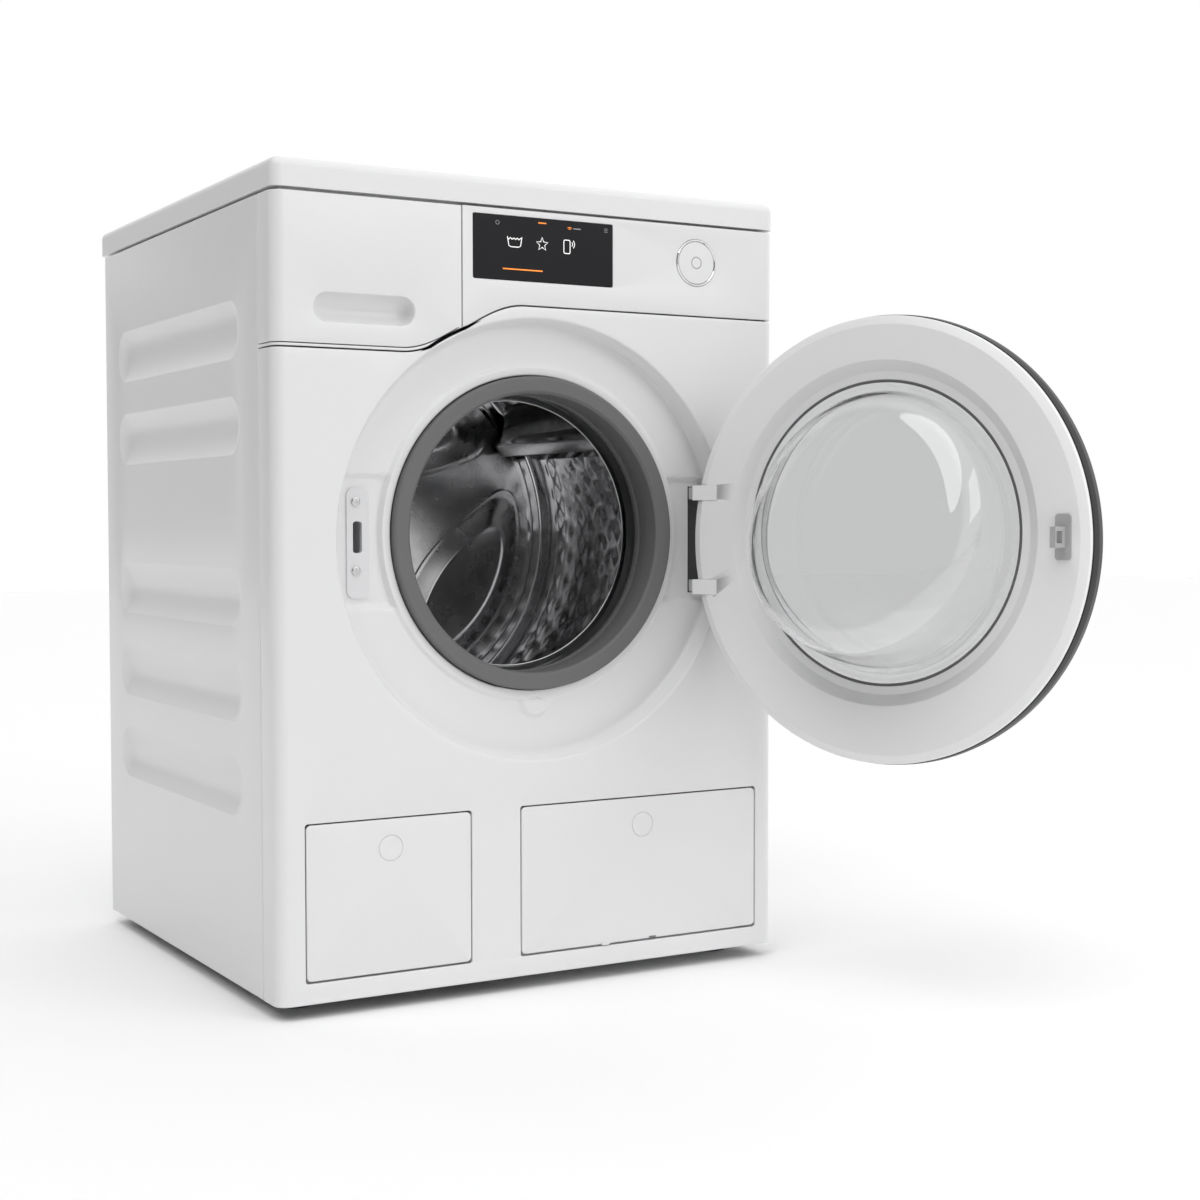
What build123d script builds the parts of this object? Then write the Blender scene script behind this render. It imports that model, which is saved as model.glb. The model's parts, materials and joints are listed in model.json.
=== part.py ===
from build123d import *
import os

os.makedirs("parts", exist_ok=True)

# Front load washing machine, door open. Millimetres, +Z up, +Y towards the back, +X to the right.
# The origin is on the floor below the middle of the lid.

# ---- cabinet ----
WIDTH = 596.0
HEIGHT = 850.0
HALF = WIDTH / 2
FRONT = -295.0          # front face of the cabinet
SIDE_BACK = 275.0       # rear edge of the side panels
LID_BACK = 295.0
SKIRT_Z = 15.0          # lower edge of the panels
BODY_TOP = 818.0
LID_Z = 821.0
STEEL = 1.5             # front panel sheet
SIDE_STEEL = 1.2
PLASTIC = 3.0
CORNER = 14.0           # upright front corners
WRAP = 40.0             # how far the front skin turns round the side
SEAM_LOW = 666.0        # seam between front panel and fascia, left end
SEAM_HIGH = 719.5       # the same seam, right end
SEAM_GAP = 1.6

# ---- door recess, porthole and door ----
DOOR_Z = 474.5
DRUM_Z = 482.0
RECESS_R = 233.0
RECESS_FLOOR_R = 228.0
RECESS_D = 20.0
BAND_D = 24.0
BAND_HALF = 67.0
PORT_R = 166.3
HINGE_X = 214.0
HINGE_Y = FRONT - 22.5
OPEN_ANGLE = 111.8
ARM_Z = (416.5, 518.5)
ARM_H = 14.0

# ---- drum and tub, depths measured from the front face ----
TUB_R = 262.0
TUB_WALL = 4.0
DRUM_R = 240.0
DRUM_SHEET = 1.2
DRUM_BACK = 430.0
SHAFT_R = 20.0
LIFTER_ANGLES = (33.0, 153.0, 273.0)
PULLEY_R = 140.0
MOTOR_PULLEY_R = 11.0
MOTOR_X = 60.0
MOTOR_Z = 150.0

# ---- fits ----
RUN = 0.06              # radial clearance of a running fit

DRAWER_RIGHT = -93.5
DRAWER_TOP = 817.5
TRAY_LENGTH = 285.0
HANDLE = (-200.5, 706.0)
BUTTON = (193.0, 778.0)
FLAP_LEFT = (-267.0, -85.5)
FLAP_RIGHT = (-26.0, 271.5)
FLAP_Z = (38.0, 194.0)
FLAP_AXIS = (4.6, 41.0)     # depth and height of the flap hinges
PUMP = (-176.0, 112.0)
FEET = [(x, y) for x in (-255, 255) for y in (-225, 240)]
SWING = (
    Location((HINGE_X, HINGE_Y, 0), (0, 0, OPEN_ANGLE)) * Location((-HINGE_X, -HINGE_Y, 0))
)


def at_depth(depth):
    """Plane facing the front, seen from the front as x and z."""
    return Plane.XZ.offset(-(FRONT + depth))


def y_axis(z, x=0.0):
    return Axis((x, 0, z), (0, 1, 0))


def profile(points, z, x=0.0):
    """Face of (depth, radius) points around the line through x and z along Y."""
    with BuildSketch(Plane.YZ.offset(x)) as face:
        with BuildLine():
            Polyline(*[(FRONT + d, z + r) for d, r in points], close=True)
        make_face()
    return face.sketch


def turned(points, z=DRUM_Z, x=0.0, mode=Mode.ADD):
    revolve(profile(points, z, x), axis=y_axis(z, x), mode=mode)


def swung(plane):
    """A plane of the shut door, moved to where the door stands open."""
    return Plane(SWING * plane.location)


def door_turned(points, z=DOOR_Z, mode=Mode.ADD):
    """The same for the door: points as it is when shut, solid placed as it stands open."""
    centre = swung(Plane((0, 0, z), x_dir=(1, 0, 0), z_dir=(0, 1, 0)))
    with BuildSketch(swung(Plane.YZ)) as face:
        with BuildLine():
            Polyline(*[(FRONT + d, z + r) for d, r in points], close=True)
        make_face()
    revolve(face.sketch, axis=Axis(centre.origin, centre.z_dir), mode=mode)


def box_between(x, depth, z, mode=Mode.ADD, swing=False):
    """Block between pairs of x, depth and z."""
    with BuildSketch(Plane.XY.offset(z[0])) as foot:
        with Locations(((x[0] + x[1]) / 2, FRONT + (depth[0] + depth[1]) / 2)):
            Rectangle(x[1] - x[0], depth[1] - depth[0])
    face = SWING * foot.sketch if swing else foot.sketch
    extrude(face, amount=z[1] - z[0], mode=mode)


def rod_between(x, z, r, depth, mode=Mode.ADD):
    """Cylinder along Y."""
    with BuildSketch(at_depth(depth[1])) as end:
        with Locations((x, z)):
            Circle(r)
    extrude(end.sketch, amount=depth[1] - depth[0], mode=mode)


def post_between(x, depth, r, z, mode=Mode.ADD):
    """Upright cylinder."""
    with BuildSketch(Plane.XY.offset(z[0])) as end:
        with Locations((x, FRONT + depth)):
            Circle(r)
    extrude(end.sketch, amount=z[1] - z[0], mode=mode)


def skin_outline(inset, depth, solid=False):
    """Front skin from above: a U with rounded front corners, or the area inside it."""
    with BuildSketch(Plane.XY.offset(SKIRT_Z)) as outline:
        with Locations((0, FRONT + depth / 2)):
            Rectangle(WIDTH, depth)
        fillet(outline.vertices().group_by(Axis.Y)[0], CORNER)
        if not solid:
            with Locations((0, FRONT + inset + depth / 2)):
                inner = Rectangle(WIDTH - 2 * inset, depth, mode=Mode.PRIVATE)
            with BuildSketch(Plane.XY, mode=Mode.PRIVATE) as hollow:
                add(inner)
                fillet(hollow.vertices().group_by(Axis.Y)[0], CORNER - inset)
            add(hollow.sketch_local, mode=Mode.SUBTRACT)
    return outline.sketch


def seam_region(lift, x0, x1, edge_z):
    """Area between the curved seam, moved up by lift, and the level edge_z."""
    with BuildSketch(at_depth(0)) as region:
        with BuildLine():
            a = Line((-HALF - 5, SEAM_LOW + lift), (-160, SEAM_LOW + lift))
            b = Spline(
                a @ 1, (-20, SEAM_HIGH + lift), tangents=((1, 0), (1, 0)), tangent_scalars=(1, 1)
            )
            c = Line(b @ 1, (HALF + 5, SEAM_HIGH + lift))
            d = Line(c @ 1, (HALF + 5, edge_z))
            e = Line(d @ 1, (-HALF - 5, edge_z))
            Line(e @ 1, a @ 0)
        make_face()
        with Locations(((x0 + x1) / 2, HEIGHT / 2)):
            Rectangle(x1 - x0, HEIGHT, mode=Mode.INTERSECT)
    return region.sketch


def save(part, label):
    """Writes a part, moved so that the origin lies under the first foot."""
    placed = Location((-FEET[0][0], -FEET[0][1], 0)) * part
    placed.label = label
    export_step(placed, f"parts/{label}.step")


# ---------------------------------------------------------------- cabinet
def side_panel(side):
    """Pressed steel side with five long hollows; side is -1 on the left, 1 on the right."""
    y0 = FRONT + WRAP + 1.5
    face = Plane((side * HALF, 0, 0), x_dir=(0, 1, 0), z_dir=(-side, 0, 0))
    hollows = [(11.0, -side * z) for z in (691.0, 593.0, 416.75, 319.0, 220.75)]
    with BuildPart() as panel:
        with BuildSketch(face):
            with Locations(((y0 + SIDE_BACK) / 2, -side * (SKIRT_Z + BODY_TOP) / 2)):
                Rectangle(SIDE_BACK - y0, BODY_TOP - SKIRT_Z)
        extrude(amount=SIDE_STEEL)
        with BuildSketch(face):
            with Locations(*hollows):
                SlotOverall(424.4, 63.4)
        extrude(amount=8 + SIDE_STEEL, taper=30)
        with BuildSketch(face):
            with Locations(*hollows):
                SlotOverall(422, 61)
        extrude(amount=8, taper=30, mode=Mode.SUBTRACT)
        outer = side * HALF
        for reach, ys, zs in (
            (9, (y0, y0 + SIDE_STEEL), (SKIRT_Z, BODY_TOP)),
            (12, (SIDE_BACK - SIDE_STEEL, SIDE_BACK), (SKIRT_Z, BODY_TOP)),
            (20, (y0, SIDE_BACK), (BODY_TOP - SIDE_STEEL, BODY_TOP)),
            (20, (y0, SIDE_BACK), (SKIRT_Z, SKIRT_Z + SIDE_STEEL)),
            (70, (50, 90), (812, 815)),
        ):
            xs = sorted((outer, outer - side * reach))
            box_between(xs, (ys[0] - FRONT, ys[1] - FRONT), zs)
    return panel.part


save(side_panel(-1), "side_panel_left")
save(side_panel(1), "side_panel_right")

# rear panel with a round pressing behind the drum pulley
with BuildPart() as rear_panel:
    box_between((-296, 296), (567.4, 568.6), (16.6, 816))
    turned([(567.4, 0), (567.4, 190), (579.4, 178), (579.4, 0)])
    turned([(567.3, 0), (567.3, 188.6), (578.2, 177.5), (578.2, 0)], mode=Mode.SUBTRACT)
    for x, z, r in ((-270, 765, 15.5), (-190, 765, 11), (200, 765, 12)):
        rod_between(x, z, r, (560, 575), mode=Mode.SUBTRACT)
    with BuildSketch(at_depth(575)):
        with Locations((0, 150)):
            with GridLocations(26, 16, 14, 4):
                SlotOverall(18, 5)
    extrude(amount=14, mode=Mode.SUBTRACT)
save(rear_panel.part, "rear_panel")

# base tray with a boss for each foot and two damper seats
with BuildPart() as base_tray:
    box_between((-294, 294), (43, 565), (20, 42))
    box_between((-291, 291), (46, 562), (23, 43), mode=Mode.SUBTRACT)
    for x, y in FEET:
        post_between(x, y - FRONT, 22, (20, 42))
    for x in (-150, 150):
        box_between((x - 24, x + 24), (361, 409), (22, 59.6))
    for y in (120, 240, 480):
        box_between((-292, 292), (y - 1.5, y + 1.5), (22, 32))
    for x, y in FEET:
        post_between(x, y - FRONT, 5 + RUN, (19, 43), mode=Mode.SUBTRACT)
save(base_tray.part, "base_tray")

# front panel: sheet, door recess, deeper band across it, bead round the porthole
with BuildPart() as front_panel:
    extrude(skin_outline(STEEL, WRAP), amount=SEAM_HIGH - SKIRT_Z + 2)
    extrude(skin_outline(STEEL, 24, solid=True), amount=STEEL)
    below_seam = seam_region(-SEAM_GAP / 2, -HALF - 1, HALF + 1, 0)
    extrude(below_seam, amount=-WRAP - 1, mode=Mode.INTERSECT)
    turned(
        [
            (0, 0),
            (0, RECESS_R + 1.6),
            (RECESS_D + STEEL, RECESS_FLOOR_R + 1.6),
            (RECESS_D + STEEL, 0),
        ],
        z=DOOR_Z,
    )
    with BuildSketch(at_depth(RECESS_D)):
        with Locations((0, DOOR_Z)):
            Circle(RECESS_FLOOR_R + STEEL)
            Rectangle(600, 2 * BAND_HALF + 3, mode=Mode.INTERSECT)
    extrude(amount=-(BAND_D - RECESS_D + STEEL))
    turned(
        [(-1, 0), (-1, RECESS_R + 0.25), (RECESS_D, RECESS_FLOOR_R), (RECESS_D, 0)],
        z=DOOR_Z,
        mode=Mode.SUBTRACT,
    )
    with BuildSketch(at_depth(RECESS_D)):
        with Locations((0, DOOR_Z)):
            Circle(RECESS_FLOOR_R)
            Rectangle(600, 2 * BAND_HALF, mode=Mode.INTERSECT)
    extrude(amount=-(BAND_D - RECESS_D), mode=Mode.SUBTRACT)
    # bead and the bump that carries the clamp screw
    rod_between(0, DRUM_Z, 176, (17, 25.5))
    with BuildSketch(at_depth(RECESS_D + STEEL)):
        with Locations((0, 306)):
            Circle(17)
        with Locations((0, 319)):
            Rectangle(72, 4)
        make_hull()
    extrude(amount=RECESS_D + STEEL - 17)
    turned([(18.4, 0), (18.4, 174.6), (26, 174.6), (26, 0)], mode=Mode.SUBTRACT)
    turned([(18.4, 165), (18.4, 172.4), (22, 172.4), (22, 165)])
    rod_between(0, DRUM_Z, PORT_R, (10, 30), mode=Mode.SUBTRACT)
    rod_between(0, 305, 8.4, (10, 30), mode=Mode.SUBTRACT)
    # hinge slot, lock hole and the two flap openings
    with BuildSketch(at_depth(RECESS_D)):
        with Locations((208.9, DOOR_Z)):
            RectangleRounded(24.2, 118.4, 2)
        with Locations((-201, 479)):
            Rectangle(14, 38)
    extrude(amount=-10, mode=Mode.SUBTRACT)
    with BuildSketch(at_depth(-1)):
        for x0, x1 in (FLAP_LEFT, FLAP_RIGHT):
            with Locations(((x0 + x1) / 2, (FLAP_Z[0] + FLAP_Z[1]) / 2 - 0.3)):
                RectangleRounded(x1 - x0 + 3, FLAP_Z[1] - FLAP_Z[0] + 3.8, 3.2)
    extrude(amount=-8, mode=Mode.SUBTRACT)
save(front_panel.part, "front_panel")

# fascia: plastic band above the seam with a bay for the detergent drawer
with BuildPart() as control_fascia:
    extrude(skin_outline(PLASTIC, WRAP), amount=BODY_TOP - SKIRT_Z)
    above_seam = seam_region(SEAM_GAP / 2, -HALF - 1, HALF + 1, BODY_TOP)
    extrude(above_seam, amount=-WRAP - 1, mode=Mode.INTERSECT)
    bay = seam_region(3.4, -HALF - 1, DRAWER_RIGHT + 1.4, BODY_TOP + 3)
    extrude(bay, amount=-37.5, mode=Mode.SUBTRACT)
    back_wall = seam_region(SEAM_GAP / 2, -HALF, DRAWER_RIGHT + 4.4, BODY_TOP)
    extrude(Location((0, 37.5, 0)) * back_wall, amount=-2.5)
    side_wall = seam_region(SEAM_GAP / 2, DRAWER_RIGHT + 1.4, DRAWER_RIGHT + 4.4, BODY_TOP)
    extrude(Location((0, 1, 0)) * side_wall, amount=-38)
    box_between((DRAWER_RIGHT + 3, HALF - 1.5), (2, WRAP), (BODY_TOP - 3, BODY_TOP))
    box_between((-86, 92), (2, 9), (739, 817))
    box_between((-80.4, 86.4), (-1, 2.7), (744.6, 811.4), mode=Mode.SUBTRACT)
    rod_between(*BUTTON, 31, (2, 20))
    rod_between(*BUTTON, 25.6, (-1, 3), mode=Mode.SUBTRACT)
    rod_between(*BUTTON, 23 + RUN, (2, 18), mode=Mode.SUBTRACT)
    with BuildSketch(at_depth(30)):
        with BuildLine():
            Polyline((-283, 693), (-191, 693), (-110, 744.5), (-110, 804.5), (-283, 804.5), close=True)
        make_face()
    extrude(amount=-14, mode=Mode.SUBTRACT)
save(control_fascia.part, "control_fascia")

# lid: rounded slab, hollow below, with a skirt that drops between the panels
with BuildPart() as top_lid:
    with BuildSketch(Plane.XY.offset(LID_Z)):
        RectangleRounded(WIDTH, LID_BACK - FRONT, 11)
    extrude(amount=HEIGHT - LID_Z)
    fillet(top_lid.faces().sort_by(Axis.Z)[-1].edges(), 8.5)
    box_between((-286, 286), (12, 578), (LID_Z - 1, 838), mode=Mode.SUBTRACT)
    box_between((-286, 286), (12, 563), (BODY_TOP, 839))
    box_between((-282, 282), (16, 559), (BODY_TOP - 1, 838), mode=Mode.SUBTRACT)
    for x in (-150, 0, 150):
        box_between((x - 1.5, x + 1.5), (16, 559), (828, 839))
save(top_lid.part, "top_lid")

with BuildPart() as display_window:
    box_between((-80, 86), (0.2, 2.6), (745, 811))
    fillet(display_window.edges().filter_by(Axis.Y), 1.5)
save(display_window.part, "display_window")

# ---------------------------------------------------------------- power button
with BuildPart() as button_ring:
    profile_points = [(3, 23.4), (0, 23.4), (-0.8, 24), (-0.8, 24.9), (0, 25.4), (3, 25.4)]
    turned(profile_points, z=BUTTON[1], x=BUTTON[0])
save(button_ring.part, "button_ring")

with BuildPart() as power_button:
    rod_between(*BUTTON, 23, (-0.4, 12))
    fillet(power_button.edges().group_by(Axis.Y)[0], 0.8)
save(power_button.part, "power_button")

# ---------------------------------------------------------------- detergent drawer
with BuildPart() as drawer_front:
    outline = seam_region(4.5, -HALF - 1, DRAWER_RIGHT, DRAWER_TOP)
    extrude(outline, amount=-36)
    extrude(skin_outline(0, 36, solid=True), amount=DRAWER_TOP, mode=Mode.INTERSECT)
    inner = seam_region(4.5 + PLASTIC, -HALF + PLASTIC, DRAWER_RIGHT - PLASTIC, DRAWER_TOP - PLASTIC)
    extrude(Location((0, PLASTIC, 0)) * inner, amount=-40, mode=Mode.SUBTRACT)
    box_between((-HALF + PLASTIC, DRAWER_RIGHT + 1), (20, 40), (660, 820), mode=Mode.SUBTRACT)
    with BuildSketch(at_depth(1)):
        with Locations(HANDLE):
            SlotOverall(114, 34.5)
    extrude(amount=-21)
    with BuildSketch(at_depth(-1)):
        with Locations(HANDLE):
            SlotOverall(109, 29.5)
    extrude(amount=-20.5, mode=Mode.SUBTRACT)
save(drawer_front.part, "drawer_front")


def drawer_section(shift, top):
    """Cross-section of the drawer, sloping up on the side of the tub."""
    with BuildSketch(at_depth(22)) as section:
        with BuildLine():
            Polyline(
                (-281 - shift, 695 - shift),
                (-192 + shift * 0.3, 695 - shift),
                (-112 + shift, 746 - shift * 0.8),
                (-112 + shift, top),
                (-281 - shift, top),
                close=True,
            )
        make_face()
    return section.sketch


with BuildPart() as drawer_tray:
    extrude(drawer_section(0, 802), amount=-TRAY_LENGTH)
    inside = Location((0, 2.5, 0)) * drawer_section(-2.5, 804)
    extrude(inside, amount=-TRAY_LENGTH + 5, mode=Mode.SUBTRACT)
    box_between((-197, -194.5), (23, 22 + TRAY_LENGTH - 1), (696, 796))
    box_between((-280, -195), (205, 207.5), (696, 796))
    post_between(-155, 250, 11, (722, 778))
    post_between(-155, 250, 8, (732, 779), mode=Mode.SUBTRACT)
save(drawer_tray.part, "drawer_tray")

with BuildPart() as dispenser_housing:
    extrude(Location((0, 19, 0)) * drawer_section(6.5, 811), amount=-281)
    extrude(Location((0, 18, 0)) * drawer_section(4, 808.5), amount=-279.5, mode=Mode.SUBTRACT)
    post_between(-240, 255, 18, (664, 690))
    post_between(-240, 255, 15, (663, 692), mode=Mode.SUBTRACT)
    rod_between(-270, 765, 10, (321, 332))
    rod_between(-270, 765, 6, (319, 333), mode=Mode.SUBTRACT)
save(dispenser_housing.part, "dispenser_housing")

with BuildPart() as dispenser_hose:
    post_between(-240, 255, 21, (638, 663.5))
    for z in (643, 649, 655, 661):
        post_between(-240, 255, 22.5, (z - 1.2, z + 1.2))
    post_between(-240, 255, 17.5, (637, 664), mode=Mode.SUBTRACT)
save(dispenser_hose.part, "dispenser_hose")

with BuildPart() as inlet_hose:
    rod_between(-270, 765, 8, (332.5, 519.5))
    rod_between(-270, 765, 5.5, (332, 520), mode=Mode.SUBTRACT)
save(inlet_hose.part, "inlet_hose")

with BuildPart() as inlet_valve:
    box_between((-286, -246), (528, 560), (740, 790))
    rod_between(-270, 765, 10, (520, 530))
    rod_between(-270, 765, 13.2, (559, 586))
    rod_between(-270, 765, 9, (566, 587), mode=Mode.SUBTRACT)
    with BuildSketch(Plane.XY.offset(790)):
        with Locations((-266, FRONT + 544)):
            Circle(10)
    extrude(amount=14)
save(inlet_valve.part, "inlet_valve")

with BuildPart() as mains_inlet:
    box_between((182, 218), (569, 577), (750, 780))
    rod_between(200, 765, 11.5, (548, 570))
    rod_between(200, 765, 9, (576, 586))
    rod_between(200, 765, 4, (547, 587), mode=Mode.SUBTRACT)
save(mains_inlet.part, "mains_inlet")

# ---------------------------------------------------------------- porthole gasket
with BuildPart() as door_gasket:
    turned(
        [
            (9, 149.5),
            (9, 164.3),
            (10.5, 165.8),
            (25, 165.8),
            (25, 170),
            (28, 170),
            (28, 162.8),
            (12, 162.8),
            (12, 149.5),
            (42, 149.5),
            (45, 152),
            (45, 165),
            (61.7, 165),
            (61.7, 162),
            (48, 162),
            (48, 149),
            (44, 146.5),
            (12, 146.5),
        ]
    )
save(door_gasket.part, "door_gasket")

with BuildPart() as clamp_screw:
    rod_between(0, 305, 8, (16.6, 20.4))
    fillet(clamp_screw.edges().group_by(Axis.Y)[0], 1)
    rod_between(0, 305, 4, (20, 34))
    box_between((-5, 5), (16, 18.2), (304.1, 305.9), mode=Mode.SUBTRACT)
    box_between((-0.9, 0.9), (16, 18.2), (300, 310), mode=Mode.SUBTRACT)
save(clamp_screw.part, "clamp_screw")

# ---------------------------------------------------------------- door lock
with BuildPart() as door_lock:
    with BuildSketch(at_depth(BAND_D)):
        with Locations((-200.5, 473)):
            RectangleRounded(24, 112, 8)
        with Locations((0, DOOR_Z)):
            Circle(219.5, mode=Mode.INTERSECT)
    extrude(amount=2)
    box_between((-207.5, -194.5), (22.5, 26), (460.5, 497.5))
    box_between((-215, -187), (25.9, 62), (440, 518))
    box_between((-211, -191), (28, 59), (456, 502), mode=Mode.SUBTRACT)
    with BuildSketch(at_depth(20)):
        with Locations((-201, 479)):
            RectangleRounded(10, 32, 3)
    extrude(amount=-10, mode=Mode.SUBTRACT)
    box_between((-191.5, -186), (30.6, 37.4), (474.6, 483.4), mode=Mode.SUBTRACT)
    for z in (445, 515):
        rod_between(-203, z, 4, (20.6, 22.2))
save(door_lock.part, "door_lock")

with BuildPart() as lock_bolt:
    box_between((-190.6, -171), (31, 37), (475, 483))
save(lock_bolt.part, "lock_bolt")

# ---------------------------------------------------------------- door hinge
with BuildPart() as hinge_bracket:
    box_between((186, 236), (26, 30), (396, 553))
    for z in ARM_Z:
        with BuildSketch(Plane.XY.offset(z)) as arm:
            with BuildLine():
                Polyline(
                    (198, FRONT + 29),
                    (198, HINGE_Y + 1),
                    (205.5, HINGE_Y - 6.5),
                    (HINGE_X, HINGE_Y - 6.5),
                    (HINGE_X, HINGE_Y + 6.5),
                    (209, HINGE_Y + 6.5),
                    (204.5, HINGE_Y + 12),
                    (204.5, FRONT + 29),
                    close=True,
                )
            make_face()
            with Locations((HINGE_X, HINGE_Y)):
                Circle(6.5)
        extrude(amount=ARM_H)
        post_between(HINGE_X, HINGE_Y - FRONT, 3 + RUN, (z - 1, z + ARM_H + 1), mode=Mode.SUBTRACT)
save(hinge_bracket.part, "hinge_bracket")

with BuildPart() as hinge_pin:
    post_between(HINGE_X, HINGE_Y - FRONT, 3, (ARM_Z[0] + 0.5, ARM_Z[1] + ARM_H - 0.5))
save(hinge_pin.part, "hinge_pin")

# ---------------------------------------------------------------- door
NOTCH_X = (196.5, 232)


def cut_hinge_notches(front, back):
    for z in ARM_Z:
        box_between(NOTCH_X, (front, back), (z - 1, z + ARM_H + 1), mode=Mode.SUBTRACT, swing=True)


with BuildPart() as door_frame:
    door_turned(
        [
            (-4, 0),
            (-4, 224.4),
            (7, 224.4),
            (7, 227.8),
            (12.3, 227.8),
            (14.3, 223.4),
            (16.3, 218.7),
            (16.3, 0),
        ]
    )
    door_turned(
        [(-5, 187), (-5, 220.5), (8, 220.5), (12.8, 215), (12.8, 187)], mode=Mode.SUBTRACT
    )
    door_turned(
        [(-5, 0), (-5, 156), (8, 156), (8, 164.5), (9, 165.5), (16.4, 176.5), (16.4, 0)],
        z=DRUM_Z,
        mode=Mode.SUBTRACT,
    )
    door_turned(
        [(-4, 150), (-4, 180), (0, 180), (0, 166), (5.6, 162), (5.6, 150)],
        z=DRUM_Z,
        mode=Mode.SUBTRACT,
    )
    door_turned([(5.8, 155.8), (5.8, 168), (9, 166), (9, 155.8)], z=DRUM_Z)
    box_between((209, 219), (-22.5, 13), (431.6, 517.4), swing=True)
    post_between(HINGE_X, HINGE_Y - FRONT, 5, (431.6, 517.4))
    post_between(HINGE_X, HINGE_Y - FRONT, 3.02, (431, 518), mode=Mode.SUBTRACT)
    cut_hinge_notches(-32, 18)
save(door_frame.part, "door_frame")

with BuildPart() as door_ring:
    door_turned(
        [
            (6.5, 228.8),
            (-4, 229.5),
            (-14, 228.5),
            (-28, 222.5),
            (-38, 213),
            (-43, 203.5),
            (-43, 200.5),
            (-38, 200.5),
            (-38, 204),
            (-35, 210),
            (-26, 218.6),
            (-13, 224.8),
            (6.5, 224.8),
        ]
    )
    cut_hinge_notches(-30, 18)
    box_between((208.6, 219.4), (-22.5, 7.5), (430, 519), mode=Mode.SUBTRACT, swing=True)
    post_between(HINGE_X, HINGE_Y - FRONT, 5.3, (430, 519), mode=Mode.SUBTRACT)
save(door_ring.part, "door_ring")

with BuildPart() as door_cover:
    door_turned(
        [
            (-38.5, 200),
            (-43, 200),
            (-47, 150),
            (-50, 80),
            (-51, 0),
            (-47.5, 0),
            (-46.5, 80),
            (-43.4, 150),
        ]
    )
save(door_cover.part, "door_cover")

# glass bowl: a cone cut off at a slant, hollow, with a flange
BOWL_SLOPE = 0.31
BOWL_DEPTH = 74.5           # depth of the slanting end on the drum axis


def bowl(inset, start, edge):
    """Cone with a slanting end, smaller all round by inset."""
    depth = BOWL_DEPTH - inset
    with BuildPart() as cone:
        door_turned([(start, 0), (start, 144.3 - inset), (130, 105.5 - inset), (130, 0)], z=DRUM_Z)
        with BuildSketch(swung(Plane.YZ)) as beyond:
            with BuildLine():
                Polyline(
                    (FRONT + depth - 200 * BOWL_SLOPE, DRUM_Z + 200),
                    (FRONT + depth + 200 * BOWL_SLOPE, DRUM_Z - 200),
                    (FRONT + 200, DRUM_Z - 200),
                    (FRONT + 200, DRUM_Z + 200),
                    close=True,
                )
            make_face()
        extrude(beyond.sketch, amount=200, both=True, mode=Mode.SUBTRACT)
        fillet(cone.faces().filter_by(GeomType.PLANE).sort_by(SortBy.AREA)[0].edges(), edge)
    return cone.part


inner_bowl = bowl(5, 3, 8)
outer_bowl = bowl(0, 8, 12)
with BuildPart() as door_glass:
    add(outer_bowl)
    door_turned([(4, 0), (4, 155.4), (8.6, 155.4), (8.6, 0)], z=DRUM_Z)
    add(inner_bowl, mode=Mode.SUBTRACT)
save(door_glass.part, "door_glass")

with BuildPart() as door_latch:
    with BuildSketch(swung(at_depth(16.4))):
        with Locations((-202, 479)):
            RectangleRounded(16, 44, 3.5)
    extrude(amount=-2)
    box_between((-205, -199), (18, 41), (469, 489), swing=True)
    box_between((-206, -198), (26, 39), (473.2, 484.8), mode=Mode.SUBTRACT, swing=True)
save(door_latch.part, "door_latch")

# ---------------------------------------------------------------- tub
with BuildPart() as tub_front:
    turned(
        [
            (50, 166),
            (50, 170),
            (62, 170),
            (62, 250),
            (72, TUB_R),
            (250, TUB_R),
            (250, 267),
            (256, 267),
            (256, TUB_R - TUB_WALL),
            (74, TUB_R - TUB_WALL),
            (67, 249),
            (67, 158),
            (62, 158),
            (62, 166),
        ]
    )
    post_between(-110, 100, 20, (212, 262))
    turned(
        [(68, 0), (68, 249), (74, TUB_R - TUB_WALL), (255, TUB_R - TUB_WALL), (255, 0)],
        mode=Mode.SUBTRACT,
    )
    post_between(-110, 100, 17, (210, 262), mode=Mode.SUBTRACT)
save(tub_front.part, "tub_front")

with BuildPart() as tub_rear:
    turned(
        [
            (256.5, TUB_R - TUB_WALL),
            (256.5, 267),
            (262, 267),
            (262, TUB_R),
            (458, TUB_R),
            (471, 249),
            (471, 62),
            (500, 46),
            (500, SHAFT_R + RUN),
            (462, SHAFT_R + RUN),
            (462, 50),
            (466, 62),
            (466, 246),
            (455, TUB_R - TUB_WALL),
        ]
    )
    for x in (-1, 1):
        xs = sorted((x * 190, x * 254))
        box_between(xs, (353, 377), (644, 652))
        post_between(x * 150, 385, 9, (252.4, 276))
    turned([(260, 0), (260, TUB_R - TUB_WALL), (455, TUB_R - TUB_WALL), (455, 0)], mode=Mode.SUBTRACT)
    with BuildSketch(at_depth(480)):
        with Locations((0, DRUM_Z)):
            with PolarLocations(155, 12):
                Rectangle(180, 4)
    extrude(amount=10)
save(tub_rear.part, "tub_rear")


with BuildPart() as sump_hose:
    post_between(-110, 100, 23, (166, 211.5))
    for z in (173, 181, 189, 197, 205):
        post_between(-110, 100, 25, (z - 1.5, z + 1.5))
    post_between(-110, 100, 20.4, (165, 212), mode=Mode.SUBTRACT)
save(sump_hose.part, "sump_hose")

# concrete block that rides on top of the tub
with BuildPart() as counterweight:
    box_between((-84, 180), (268, 398), (690, 792))
    fillet(counterweight.edges().filter_by(Axis.Y).group_by(Axis.Z)[-1], 12)
    rod_between(0, DRUM_Z, TUB_R + 0.4, (260, 410), mode=Mode.SUBTRACT)
save(counterweight.part, "counterweight")


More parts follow.
